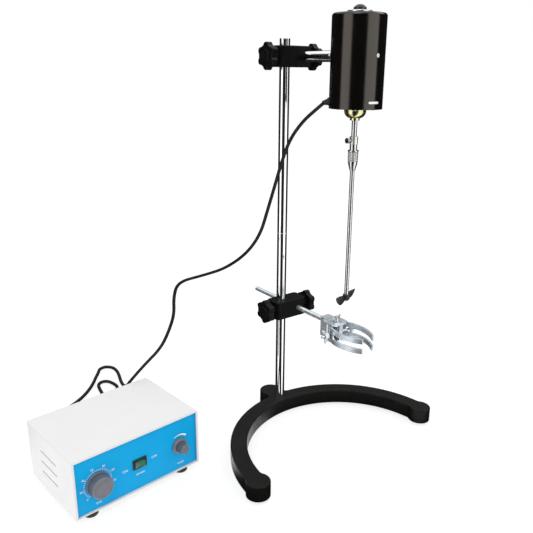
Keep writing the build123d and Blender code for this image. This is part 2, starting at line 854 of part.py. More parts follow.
hub_low = rod_low + paddle_hub_up
blade_z = hub_low + paddle_hub_height / 2
blade_stations = [
    (paddle_hub_radius - 1.2, blade_root_chord, blade_root_pitch),
    (paddle_span / 4 + 2, blade_wide_chord, (blade_root_pitch + blade_tip_pitch) / 2),
    (paddle_span / 2, blade_tip_chord, blade_tip_pitch),
]
with BuildPart() as paddle:
    with BuildSketch(level(motor_x, motor_y, hub_low)):
        Circle(paddle_hub_radius)
    extrude(amount=paddle_hub_height)
    chamfer(paddle.edges(), length=0.8)
    for half_turn in (0, 180):
        turn = math.radians(paddle_turn + half_turn)
        out = Vector(math.cos(turn), math.sin(turn), 0)
        along = Vector(-math.sin(turn), math.cos(turn), 0)
        up = Vector(0, 0, 1)
        for reach, chord, pitch in blade_stations:
            lean = math.radians(pitch)
            chord_way = along * math.cos(lean) + up * math.sin(lean)
            station = Plane(
                origin=Vector(*spot(motor_x, motor_y, blade_z)) + out * reach, x_dir=chord_way, z_dir=out
            )
            with BuildSketch(station):
                SlotOverall(chord, blade_thick)
        loft()
    with BuildSketch(level(motor_x, motor_y, hub_low - 1)):
        Circle(rod_radius + push_clearance)
    extrude(amount=paddle_hub_height + 2, mode=Mode.SUBTRACT)
keep(paddle.part, "paddle")

# Flask clamp
grip_x = head_pitch
grip_z = lower_head_z - grip_drop
jaw_low = grip_z - jaw_height / 2
jaw_top = grip_z + jaw_height / 2
leaf_gap = jaw_height + 2 * jaw_leaf_gap
upper_leaf_z = grip_z + leaf_gap / 2
lower_leaf_z = grip_z - leaf_gap / 2 - leaf_thick
leaf_start = bracket_y + bracket_length - leaf_thick
leaf_mid = leaf_start + leaf_length / 2

with BuildPart() as clamp_rod:
    with BuildSketch(facing(grip_x, clamp_rod_tail, lower_head_z)):
        Circle(clamp_rod_radius)
    extrude(amount=clamp_rod_tail + clamp_rod_reach)
    chamfer(clamp_rod.edges().filter_by(GeomType.CIRCLE), length=0.8)
keep(clamp_rod.part, "clamp_rod")

block_top = lower_head_z + bracket_top
block_height = block_top - lower_leaf_z
with BuildPart() as clamp_bracket:
    with BuildSketch(level(grip_x, -(bracket_y + bracket_length / 2), lower_leaf_z)):
        Rectangle(bracket_width, bracket_length)
    extrude(amount=block_height)
    fillet(clamp_bracket.edges().filter_by(Axis.Z), radius=2)
    for leaf_z in (lower_leaf_z, upper_leaf_z):
        with BuildSketch(level(grip_x, -leaf_mid, leaf_z)):
            RectangleRounded(leaf_width, leaf_length, leaf_corner)
        extrude(amount=leaf_thick)
    with BuildSketch(level(grip_x, -cross_bolt_y, lower_leaf_z)):
        Rectangle(post_width, post_width)
    extrude(amount=upper_leaf_z - lower_leaf_z)
    with BuildSketch(facing(grip_x, -bracket_y, lower_head_z)):
        Circle(clamp_rod_radius + slide_clearance)
    extrude(amount=clamp_rod_reach - bracket_y + seat_gap, mode=Mode.SUBTRACT)
    with BuildSketch(level(grip_x, 0, lower_leaf_z)):
        with Locations((-jaw_pin_spread, -jaw_pin_y), (jaw_pin_spread, -jaw_pin_y)):
            Circle(jaw_pin_radius + thread_clearance)
        with Locations((0, -lock_bolt_y)):
            Circle(lock_bolt_radius + thread_clearance)
    extrude(amount=2 * jaw_height, mode=Mode.SUBTRACT)
    with BuildSketch(across(grip_x - post_width, -cross_bolt_y, grip_z)):
        Circle(cross_bolt_radius + thread_clearance)
    extrude(amount=2 * post_width, mode=Mode.SUBTRACT)
keep(clamp_bracket.part, "clamp_bracket")


def jaw(side):
    """One pressed jaw of the flask clamp, with an upper and a lower finger: side -1 left, 1 right."""
    pin = (side * jaw_pin_spread, -jaw_pin_y)
    shoulder = (side * jaw_shoulder_side, -jaw_shoulder_y)
    belly = (side * jaw_side, -jaw_belly_y)
    tip = (side * jaw_tip_side, -jaw_tip_y)
    with BuildPart() as piece:
        with BuildSketch(level(grip_x, 0, jaw_low)):
            with BuildLine() as finger_line:
                Line(pin, shoulder)
                ThreePointArc(shoulder, belly, tip)
            trace(line_width=jaw_thick)
            with Locations(pin):
                Circle(jaw_tail_radius)
            with Locations(tip):
                Circle(jaw_thick / 2)
        extrude(amount=jaw_height)
        window_start = jaw_shoulder_y + jaw_window
        window_length = jaw_tip_y + jaw_thick - window_start
        with BuildSketch(across(grip_x + side * jaw_side / 2, -(window_start + window_length / 2 + 1), grip_z)):
            SlotOverall(window_length + 2, jaw_window)
        extrude(amount=jaw_side + jaw_thick, both=True, mode=Mode.SUBTRACT)
        with BuildSketch(level(grip_x, 0, jaw_low)):
            with Locations(pin):
                Circle(jaw_pin_radius + running_clearance)
        extrude(amount=jaw_height, mode=Mode.SUBTRACT)
        with BuildSketch(across(grip_x, -cross_bolt_y, grip_z, side)):
            Circle(cross_hole_radius)
        extrude(amount=2 * jaw_side, mode=Mode.SUBTRACT)
    return piece.part


keep(jaw(-1), "left_jaw")
keep(jaw(1), "right_jaw")

pin_low = lower_leaf_z - bolt_head_thick
pin_top = upper_leaf_z + leaf_thick
lock_nut_z = pin_top + seat_gap
with BuildPart() as clamp_bolts:
    with BuildSketch(level(grip_x, 0, pin_low)):
        with Locations((-jaw_pin_spread, -jaw_pin_y), (jaw_pin_spread, -jaw_pin_y), (0, -lock_bolt_y)):
            Circle(bolt_head_radius - 0.6)
    extrude(amount=bolt_head_thick)
    with BuildSketch(level(grip_x, 0, lower_leaf_z)):
        with Locations((-jaw_pin_spread, -jaw_pin_y), (jaw_pin_spread, -jaw_pin_y)):
            Circle(jaw_pin_radius)
    extrude(amount=pin_top - lower_leaf_z + 0.8)
    with BuildSketch(level(grip_x, 0, lower_leaf_z)):
        with Locations((0, -lock_bolt_y)):
            Circle(lock_bolt_radius)
    extrude(amount=pin_top - lower_leaf_z + wing_hub_height + 3)
    with BuildSketch(across(grip_x + cross_bolt_side - bolt_head_thick, -cross_bolt_y, grip_z)):
        RegularPolygon(bolt_head_radius, 6)
    extrude(amount=bolt_head_thick)
    with BuildSketch(across(grip_x - cross_bolt_side - 4, -cross_bolt_y, grip_z)):
        Circle(cross_bolt_radius)
    extrude(amount=2 * cross_bolt_side + 4 - bolt_head_thick)
keep(clamp_bolts.part, "clamp_bolts")


def wing_nut(plane, bore_radius):
    """Wing nut whose seat lies in the plane and whose wings stand up along the plane's normal."""
    with BuildPart() as nut:
        with BuildSketch(plane):
            Circle(wing_hub_radius + 1)
        with BuildSketch(plane.offset(wing_hub_height)):
            Circle(wing_hub_radius - 0.5)
        loft()
        wing_plane = Plane(origin=plane.origin, x_dir=plane.x_dir, z_dir=plane.y_dir)
        with BuildSketch(wing_plane):
            for way in (-1, 1):
                with BuildLine():
                    Polyline(
                        (way * 1.5, -1.5), (way * wing_span * 0.38, -wing_hub_height * 0.7),
                        (way * wing_span / 2, -wing_rise), (way * wing_span * 0.36, -wing_rise),
                        (way * 1.5, -wing_hub_height), close=True,
                    )
                make_face()
        extrude(amount=wing_thick / 2, both=True)
        with BuildSketch(plane):
            Circle(bore_radius + thread_clearance)
        extrude(amount=2 * wing_rise, mode=Mode.SUBTRACT)
    return nut.part


lock_plane = Plane(origin=spot(grip_x, -lock_bolt_y, lock_nut_z), x_dir=(1, 0.3, 0), z_dir=(0, 0, 1))
side_seat = -jaw_shoulder_side - jaw_thick / 2 - side_nut_gap
side_plane = Plane(origin=spot(grip_x + side_seat, -cross_bolt_y, grip_z), x_dir=(0, 0.5, 1), z_dir=(-1, 0, 0))
keep(wing_nut(lock_plane, lock_bolt_radius), "lock_wing_nut")
keep(wing_nut(side_plane, cross_bolt_radius), "side_wing_nut")

# Controller
yaw = math.radians(case_yaw)
case_right = Vector(math.cos(yaw), math.sin(yaw), 0)
case_back = Vector(-math.sin(yaw), math.cos(yaw), 0)
case_up = Vector(0, 0, 1)


def in_case(x, y, z):
    """Point measured from the case's lower front left corner: right, back and up."""
    corner = Vector(*spot(case_corner_x, case_corner_y, case_low))
    return corner + case_right * x + case_back * y + case_up * z


def case_level(x, y, z):
    """Horizontal plane in the case's own directions."""
    return Plane(origin=in_case(x, y, z), x_dir=case_right, z_dir=case_up)


def case_front(x, y, z):
    """Plane that faces the user: its normal runs out of the panel."""
    return Plane(origin=in_case(x, y, z), x_dir=case_right, z_dir=case_back * -1)


def case_side(x, y, z):
    """Plane whose normal runs to the case's right."""
    return Plane(origin=in_case(x, y, z), x_dir=case_back, z_dir=case_right)


def case_rear(x, y, z):
    """Plane whose normal runs out of the case's rear wall."""
    return Plane(origin=in_case(x, y, z), x_dir=case_right * -1, z_dir=case_back)


mid_x = case_width / 2
panel_y = lip
panel_back = panel_y + panel_thick
with BuildPart() as case_cover:
    with BuildSketch(case_front(mid_x, 0, case_height / 2)) as cover_outline:
        Rectangle(case_width, case_height)
        fillet(cover_outline.vertices().group_by(Axis.Y)[-1], radius=case_bend)
    extrude(amount=-case_depth)
    with BuildSketch(case_front(mid_x, 0, (case_height - lip) / 2)):
        Rectangle(case_width - 2 * lip, case_height - lip)
    extrude(amount=-2 * sheet, mode=Mode.SUBTRACT)
    with BuildSketch(case_front(mid_x, sheet, (case_height - sheet) / 2)):
        Rectangle(case_width - 2 * sheet, case_height - sheet)
    extrude(amount=-case_depth, mode=Mode.SUBTRACT)
    with BuildSketch(case_side(0, slit_mid_y, slit_low_z)):
        with Locations(*[(0, row * slit_pitch) for row in range(slit_count)]):
            SlotOverall(slit_length, slit_width)
    extrude(amount=case_width, mode=Mode.SUBTRACT)
keep(case_cover.part, "case_cover")

floor_width = case_width - 2 * sheet - 2 * panel_gap
rear_y = case_depth - sheet
floor_start = sheet + panel_gap
with BuildPart() as case_chassis:
    with BuildSketch(case_level(mid_x, case_depth / 2, 0)):
        Rectangle(case_width - 2 * lip - 2 * panel_gap, case_depth)
        with Locations((0, floor_start / 2)):
            Rectangle(floor_width, case_depth - floor_start)
    extrude(amount=sheet)
    with BuildSketch(case_level(mid_x, rear_y + sheet / 2, 0)):
        Rectangle(floor_width, sheet)
    extrude(amount=case_height - sheet - panel_gap)
    for flange_x in (sheet + panel_gap + sheet / 2, case_width - sheet - panel_gap - sheet / 2):
        with BuildSketch(case_level(flange_x, case_depth - 8, 0)):
            Rectangle(sheet, 16)
        extrude(amount=case_height - sheet - panel_gap)
    with BuildSketch(case_rear(0, rear_y - 1, 0)):
        with Locations((-lead_socket_x, lead_socket_z), (-mains_socket_x, mains_socket_z)):
            Circle(gland_hole_radius)
    extrude(amount=2 * sheet, mode=Mode.SUBTRACT)
    with BuildSketch(case_level(0, 0, 0)):
        for hole_x in (case_foot_inset_x, case_width - case_foot_inset_x):
            for hole_y in (case_foot_inset_y, case_depth - case_foot_inset_y):
                with Locations((hole_x, hole_y)):
                    Circle(case_foot_pin + push_clearance)
    extrude(amount=sheet, mode=Mode.SUBTRACT)
keep(case_chassis.part, "case_chassis")

with BuildPart() as front_panel:
    with BuildSketch(case_front(mid_x, panel_y, case_height / 2)):
        Rectangle(case_width - 2 * sheet - 2 * panel_gap, case_height - 2 * sheet - 2 * panel_gap)
    extrude(amount=-panel_thick)
    with BuildSketch(case_front(0, panel_y, 0)):
        with Locations((timer_x, timer_z), (speed_x, speed_z)):
            Circle(control_shaft_radius + cutout_clearance)
        with Locations((switch_x, switch_z)):
            Rectangle(switch_body_width + 2 * cutout_clearance, switch_body_height + 2 * cutout_clearance)
    extrude(amount=-panel_thick, mode=Mode.SUBTRACT)
keep(front_panel.part, "front_panel")

with BuildPart() as case_feet:
    foot_spots = [
        (foot_x, foot_y)
        for foot_x in (case_foot_inset_x, case_width - case_foot_inset_x)
        for foot_y in (case_foot_inset_y, case_depth - case_foot_inset_y)
    ]
    with BuildSketch(case_level(0, 0, 0)):
        with Locations(*foot_spots):
            Circle(case_foot_radius)
    extrude(amount=-case_low, taper=8)
    with BuildSketch(case_level(0, 0, 0)):
        with Locations(*foot_spots):
            Circle(case_foot_pin)
    extrude(amount=sheet + 2)
keep(case_feet.part, "case_feet")

with BuildPart() as case_screws:
    screw_spots = [
        (-screw_x, screw_z)
        for screw_x in (case_screw_inset + 6, case_width - case_screw_inset - 6)
        for screw_z in (case_screw_inset + 4, case_height - case_screw_inset - 6)
    ]
    with BuildSketch(case_rear(0, case_depth, 0)):
        with Locations(*screw_spots):
            Circle(case_screw_head)
    extrude(amount=1.6, taper=15)
keep(case_screws.part, "case_screws")


def ribbed_knob(place_x, place_z, profile, rib_radius, rib_count, rib_depth, rib_start):
    """Panel knob turned from (radius, height) points, with flutes along its rim, on the panel's face."""
    knob_axis = Axis(in_case(place_x, panel_y, place_z), case_back * -1)
    profile_plane = Plane(origin=in_case(place_x, panel_y, place_z), x_dir=case_right, z_dir=case_up)
    total = max(height for _, height in profile)
    with BuildPart() as knob:
        with BuildSketch(profile_plane):
            with BuildLine():
                Polyline(*[(radius, -height) for radius, height in profile], close=True)
            make_face()
        revolve(axis=knob_axis)
        with BuildSketch(case_front(place_x, panel_y - rib_start, place_z)):
            with PolarLocations(rib_radius, rib_count):
                Circle(rib_depth)
        extrude(amount=total, mode=Mode.SUBTRACT)
        with BuildSketch(case_front(place_x, panel_y, place_z)):
            Circle(control_shaft_radius + running_clearance)
        extrude(amount=control_shaft_out + seat_gap, mode=Mode.SUBTRACT)
    return knob.part


timer_profile = [
    (0, knob_off_panel), (timer_knob_radius, knob_off_panel), (timer_knob_radius, knob_off_panel + 2.5),
    (timer_knob_radius - 0.6, knob_off_panel + 3), (timer_knob_face, timer_knob_height - 1.4),
    (timer_knob_face - 1.2, timer_knob_height), (timer_knob_face - 3, timer_knob_height),
    (timer_knob_face - 3.6, timer_knob_height - 0.6), (0, timer_knob_height - 0.6),
]
speed_profile = [
    (0, knob_off_panel), (speed_skirt_radius, knob_off_panel), (speed_skirt_radius, knob_off_panel + 2.4),
    (speed_skirt_radius - 2.2, speed_skirt_height), (speed_knob_radius + 0.5, speed_skirt_height),
    (speed_knob_radius, speed_knob_height - 1), (speed_knob_radius - 1, speed_knob_height),
    (0, speed_knob_height),
]
keep(ribbed_knob(
    timer_x, timer_z, timer_profile, timer_knob_face + 0.2, timer_ribs, timer_rib_depth, knob_off_panel + 3,
), "timer_knob")
keep(ribbed_knob(
    speed_x, speed_z, speed_profile, speed_knob_radius + 0.1, speed_ribs, speed_rib_depth, speed_skirt_height,
), "speed_knob")

with BuildPart() as timer_body:
    with BuildSketch(case_front(timer_x, panel_back + seat_gap, timer_z)):
        RectangleRounded(timer_case, timer_case, 3)
    extrude(amount=-timer_case_depth)
    with BuildSketch(case_front(timer_x, panel_back + seat_gap, timer_z)):
        Circle(control_shaft_radius)
    extrude(amount=panel_thick + seat_gap + control_shaft_out)
keep(timer_body.part, "timer_body")

with BuildPart() as speed_control:
    with BuildSketch(case_front(speed_x, panel_back + seat_gap, speed_z)):
        Circle(pot_radius)
    extrude(amount=-pot_depth)
    with BuildSketch(case_front(speed_x, panel_back + seat_gap, speed_z)):
        Circle(control_shaft_radius)
    extrude(amount=panel_thick + seat_gap + control_shaft_out)
keep(speed_control.part, "speed_control")

rocker_width = bezel_width - 2 * bezel_rim
rocker_height = bezel_height - 2 * bezel_rim
rocker_pivot_y = panel_y + 2.5
with BuildPart() as switch_body:
    with BuildSketch(case_front(switch_x, panel_y, switch_z)):
        RectangleRounded(bezel_width, bezel_height, 1.2)
    extrude(amount=bezel_thick)
    fillet(switch_body.faces().sort_by(Axis(in_case(0, 0, 0), case_back))[0].edges(), radius=0.6)
    with BuildSketch(case_front(switch_x, panel_y, switch_z)):
        Rectangle(switch_body_width, switch_body_height)
    extrude(amount=-switch_body_depth)
    with BuildSketch(case_front(switch_x, panel_y - bezel_thick, switch_z)):
        Rectangle(rocker_width, rocker_height)
    extrude(amount=-(bezel_thick + rocker_drop + 2), mode=Mode.SUBTRACT)
    with BuildSketch(case_level(switch_x, rocker_pivot_y, switch_z)):
        Circle(rocker_pin_radius + running_clearance)
    extrude(amount=rocker_height / 2 + 1, both=True, mode=Mode.SUBTRACT)
keep(switch_body.part, "switch_body")

rocker_turn = math.radians(case_yaw - rocker_half_turn)
rocker_x_dir = Vector(math.cos(rocker_turn), math.sin(rocker_turn), 0)
rocker_origin = in_case(switch_x, rocker_pivot_y, switch_z)
half_rocker = rocker_width / 2 - rocker_gap
with BuildPart() as switch_rocker:
    with BuildSketch(Plane(origin=rocker_origin, x_dir=rocker_x_dir, z_dir=case_up)):
        with BuildLine():
            ridge = 3.4
            Polyline(
                (-half_rocker + 1.4, 0.6), (-half_rocker + 0.5, -6.6), (0, -ridge - 1.2),
                (half_rocker - 0.5, -6.6), (half_rocker - 1.4, 0.6), (0, rocker_drop - 2.5), close=True,
            )
        make_face()
    extrude(amount=rocker_height / 2 - rocker_gap, both=True)
    with BuildSketch(Plane(origin=rocker_origin, x_dir=rocker_x_dir, z_dir=case_up)):
        Circle(rocker_pin_radius)
    extrude(amount=rocker_height / 2 + 0.8, both=True)
keep(switch_rocker.part, "switch_rocker")

board_low = sheet + board_up
with BuildPart() as control_board:
    with BuildSketch(case_level(board_x, board_y, board_low)):
        Rectangle(board_width, board_depth)
    extrude(amount=board_thick)
    with BuildSketch(case_level(board_x, board_y, sheet)):
        with GridLocations(board_width - 2 * post_inset, board_depth - 2 * post_inset, 2, 2):
            Circle(post_radius)
    extrude(amount=board_up)
    with BuildSketch(case_level(board_x - 26, board_y, board_low + board_thick)):
        Rectangle(transformer_size, transformer_size)
    extrude(amount=transformer_size * 0.8)
    with BuildSketch(case_level(board_x + 30, board_y + 16, board_low + board_thick)):
        Rectangle(transformer_size, heat_sink_thick)
    extrude(amount=transformer_size * 0.7)
    with BuildSketch(case_level(board_x + 24, board_y - 16, board_low + board_thick)):
        with Locations((0, 0), (16, 0)):
            Circle(5)
    extrude(amount=18)
keep(control_board.part, "control_board")

with BuildPart() as case_glands:
    add(gland(case_rear(lead_socket_x, case_depth, lead_socket_z), lead_gland_length))
    add(gland(case_rear(mains_socket_x, case_depth, mains_socket_z), mains_gland_length))
keep(case_glands.part, "case_glands")


# Leads
def lead_tube(name, points, radius):
    """Round lead along straight runs joined by tangent arcs, with the radii and the length printed."""
    stops = [Vector(*p) for p in points]
    runs = [stops[i + 1] - stops[i] for i in range(len(stops) - 1)]
    radii = []
    for before, after in zip(runs, runs[1:]):
        half_turn_angle = math.radians(before.get_angle(after)) / 2
        radii.append(0.45 * min(before.length, after.length) / math.tan(half_turn_angle))
    with BuildPart() as tube:
        with BuildLine() as route:
            FilletPolyline(*stops, radius=radii)
        with BuildSketch(Plane(origin=stops[0], z_dir=runs[0])):
            Circle(radius)
        sweep()
    length = sum(edge.length for edge in route.edges())
    expected = math.pi * radius**2 * length
    print(name, "length", round(length, 1), "volume ratio", round(tube.part.volume / expected, 5))
    print(" runs", [round(run.length) for run in runs])
    print(" radii", [round(r) for r in radii])
    return tube.part


motor_exit = gland_tip(gland_plane, motor_gland_length, motor_gland_droop)
motor_lead_points = [
    motor_exit.origin,
    motor_exit.origin + motor_exit.z_dir * 14,
    spot(-38, -92, 514),
    spot(-51, -79, 488),
    spot(-59.5, -71, 453),
    spot(-67, -65, 418),
    spot(-74, -58, 383),
    spot(-82, -52, 348),
    spot(-97, -39, 318),
    spot(-122, -18, 293),
    spot(-150, 6, 280),
    spot(-176, 26, 270),
    spot(-187, 36, 244),
    spot(-192, 41, 214),
    spot(-198, 46, 184),
    spot(-208, 54, 153),
    spot(-229, 72, 121),
    in_case(178, 147, 93),
    in_case(170, 165, 74),
    in_case(166.5, 178, 54),
    in_case(165.5, 180, 38),
    in_case(165, 174, 27),
    in_case(lead_socket_x, case_depth + lead_gland_length + 10, lead_socket_z),
    in_case(lead_socket_x, case_depth + lead_gland_length, lead_socket_z),
]
keep(lead_tube("motor_lead", motor_lead_points, motor_lead_radius), "motor_lead")

bench = mains_radius
coil_side = coil_mean_radius + coil_section / 2 + mains_radius + 0.1
mains_points = [
    in_case(mains_socket_x, case_depth + mains_gland_length, mains_socket_z),
    in_case(mains_socket_x, case_depth + mains_gland_length + 11, mains_socket_z),
    in_case(30, 185, 15),
    in_case(30.5, 197, 5),
    in_case(32, 211, -3),
    in_case(36, 227, -6),
    spot(-377, 168, bench),
    spot(-358, 189, bench),
    spot(-334, 207, bench),
    spot(-309, 222, bench),
    spot(-284, 235, bench),
    spot(-261, 252, bench),
    spot(-241, 275, bench),
    spot(-225, 299, bench),
    spot(-213, 319, bench),
    spot(-205, 332, bench),
    spot(-191, 335.5, bench),
    spot(-178.5, 328, bench),
    spot(-175, 313, bench),
    spot(-178, 290, bench),
    spot(-181, 265, bench),
    spot(-180, 240, bench),
    spot(-175, 216, bench),
    spot(-173, 194.5, bench),
    spot(-179.5, 173, bench),
    spot(-199.5, 163, bench),
    spot(-221, 169.5, bench),
    spot(-231, 189.5, bench),
    spot(-226, 210, bench),
    spot(-213, 227, bench),
    spot(-204.5, 246, bench),
    spot(-203.5, 265, bench),
    spot(-210.5, 276, bench),
    spot(-223, 278.5, bench),
    spot(-234, 271.5, bench),
    spot(-237, 258, bench),
    spot(-239, 236, bench),
    spot(-243, 212, bench),
    spot(-250, 187, bench),
    spot(coil_x + coil_side, coil_y + 22, bench),
    spot(coil_x + coil_side, coil_y, bench),
]
keep(lead_tube("mains_lead", mains_points, mains_radius), "mains_lead")

with BuildPart() as mains_coil:
    with BuildSketch(level(coil_x, coil_y, 0)):
        Circle(coil_mean_radius + coil_section / 2)
        Circle(coil_mean_radius - coil_section / 2, mode=Mode.SUBTRACT)
    extrude(amount=coil_section)
    fillet(mains_coil.edges().filter_by(GeomType.CIRCLE), radius=coil_section / 4)
keep(mains_coil.part, "mains_coil")

plug_x = coil_x + plug_offset_x
plug_y = coil_y + plug_offset_y
plug_rear = plug_x + plug_length / 2
with BuildPart() as mains_plug:
    with BuildSketch(level(plug_x, plug_y, 0)):
        RectangleRounded(plug_length, plug_width, 5)
    extrude(amount=plug_height)
    fillet(mains_plug.edges().group_by(Axis.Z)[-1], radius=3)
    with BuildSketch(across(plug_rear - 1, plug_y, plug_height / 2)):
        Circle(5.5)
    with BuildSketch(across(plug_rear + plug_nose, plug_y, plug_height / 2 - 3)):
        Circle(gland_tip_radius)
    loft()
    with BuildSketch(across(plug_x - plug_length / 2, plug_y, plug_height / 2, -1)):
        with Locations((-blade_gap / 2, 3), (blade_gap / 2, 3)):
            Rectangle(blade_sheet, blade_width_mm)
        with Locations((0, -5)):
            Circle(2.4)
    extrude(amount=blade_length)
keep(mains_plug.part, "mains_plug")
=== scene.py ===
"""Dressed model of an overhead stirrer: motor and spindle, column stand, flask clamp and controller."""

import json
import logging
import math
from dataclasses import dataclass
from enum import Enum

import bmesh
import bpy
from mathutils import Matrix, Vector

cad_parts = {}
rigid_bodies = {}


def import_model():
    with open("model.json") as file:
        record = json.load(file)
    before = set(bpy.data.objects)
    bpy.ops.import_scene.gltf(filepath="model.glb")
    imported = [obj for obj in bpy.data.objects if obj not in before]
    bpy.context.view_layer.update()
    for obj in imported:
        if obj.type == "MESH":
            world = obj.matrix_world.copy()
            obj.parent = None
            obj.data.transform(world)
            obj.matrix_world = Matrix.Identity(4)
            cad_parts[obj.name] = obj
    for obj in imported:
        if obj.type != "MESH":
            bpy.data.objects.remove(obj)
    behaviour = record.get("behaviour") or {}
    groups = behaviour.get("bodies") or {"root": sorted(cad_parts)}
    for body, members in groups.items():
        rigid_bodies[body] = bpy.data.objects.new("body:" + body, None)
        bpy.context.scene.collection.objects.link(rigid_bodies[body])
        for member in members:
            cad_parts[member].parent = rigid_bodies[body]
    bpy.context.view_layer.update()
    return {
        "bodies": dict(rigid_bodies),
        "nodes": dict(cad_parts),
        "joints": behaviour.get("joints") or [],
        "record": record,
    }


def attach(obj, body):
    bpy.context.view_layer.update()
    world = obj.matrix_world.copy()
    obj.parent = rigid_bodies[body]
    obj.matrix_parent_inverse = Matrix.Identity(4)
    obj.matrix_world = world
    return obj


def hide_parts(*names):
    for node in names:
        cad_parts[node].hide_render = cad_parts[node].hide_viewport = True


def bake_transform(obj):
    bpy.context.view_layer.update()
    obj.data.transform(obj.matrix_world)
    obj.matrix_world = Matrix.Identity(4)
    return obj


log = logging.getLogger("stirrer")

MM = 0.001
COLUMN = Vector((0.113, 0.044, 0.0))
MOTOR = Vector((0.137, -0.088, 0.0))
UP = Vector((0.0, 0.0, 1.0))
TURNED_SIDES = 48
SAME_POINT = 0.000001
SHARP_ANGLE = math.radians(35)

Pair = tuple[float, float]
Triple = tuple[float, float, float]
Socket = bpy.types.NodeSocket


def spot(x: float, y: float, z: float) -> Vector:
    """Point measured from the column's foot, in metres."""
    return COLUMN + Vector((x, y, z))


def compass(degrees: float) -> Vector:
    """Level direction, by its angle from X towards Y."""
    angle = math.radians(degrees)
    return Vector((math.cos(angle), math.sin(angle), 0.0))


class Texture(Enum):
    """Surface relief that a finish is made with."""

    WRINKLE = "wrinkle"
    CAST = "cast"
    PEEL = "peel"
    MOULDED = "moulded"
    TURNED = "turned"
    DRAWN = "drawn"
    PLATED = "plated"
    STACKED = "stacked"
    WOUND = "wound"


class NodeTree:
    """The node tree of a material or a world, with short calls for what is shared."""

    def __init__(self, owner: bpy.types.Material | bpy.types.World) -> None:
        """Start with the owner's tree emptied.

        Args:
            owner: the material or world.
        """
        owner.use_nodes = True
        self.tree = owner.node_tree
        self.tree.nodes.clear()

    def add(self, kind: str, **values: object) -> bpy.types.Node:
        """Add a node and set its named inputs.

        Args:
            kind: the node's Blender type.
            values: socket values by name, with _ for a space.

        Returns:
            The new node.
        """
        node = self.tree.nodes.new(kind)
        for name, value in values.items():
            node.inputs[name.replace("_", " ")].default_value = value
        return node

    def link(self, start: Socket, end: Socket) -> None:
        """Join two sockets."""
        self.tree.links.new(start, end)

    def feed(self, source: object, end: Socket) -> None:
        """Give an input its number, or join it to the socket that it comes from.

        Args:
            source: a number or a socket.
            end: the input.
        """
        if isinstance(source, (int, float)):
            end.default_value = source
        else:
            self.link(source, end)

    def ranged(self, value: Socket, low: float, high: float, start: float = 0.3, end: float = 0.7) -> Socket:
        """Value spread from one range to another.

        Args:
            value: the socket that it comes from.
            low: result at the start.
            high: result at the end.
            start: input that gives low.
            end: input that gives high.

        Returns:
            The result's socket.
        """
        node = self.add("ShaderNodeMapRange", From_Min=start, From_Max=end, To_Min=low, To_Max=high)
        self.link(value, node.inputs["Value"])
        return node.outputs["Result"]

    def maths(self, kind: str, first: Socket, second: object) -> Socket:
        """Sum, product or the like of a socket and another socket or number.

        Args:
            kind: Blender's name of the operation.
            first: first socket.
            second: second socket, or a number.

        Returns:
            The result's socket.
        """
        node = self.add("ShaderNodeMath")
        node.operation = kind
        self.link(first, node.inputs[0])
        self.feed(second, node.inputs[1])
        return node.outputs[0]

    def between(self, share: Socket, first: object, second: object) -> Socket:
        """Number between two others.

        Args:
            share: socket with the second's share.
            first: first socket or number.
            second: second socket or number.

        Returns:
            The result's socket.
        """
        node = self.add("ShaderNodeMix")
        self.link(share, node.inputs[0])
        self.feed(first, node.inputs[2])
        self.feed(second, node.inputs[3])
        return node.outputs[0]

    def either(self, share: Socket, first: bpy.types.Node, second: bpy.types.Node) -> bpy.types.Node:
        """Mix of two shaders.

        Args:
            share: socket with the second's share.
            first: first shader.
            second: second shader.

        Returns:
            The mixing node.
        """
        node = self.add("ShaderNodeMixShader")
        for start, end in zip((share, first.outputs[0], second.outputs[0]), node.inputs):
            self.link(start, end)
        return node


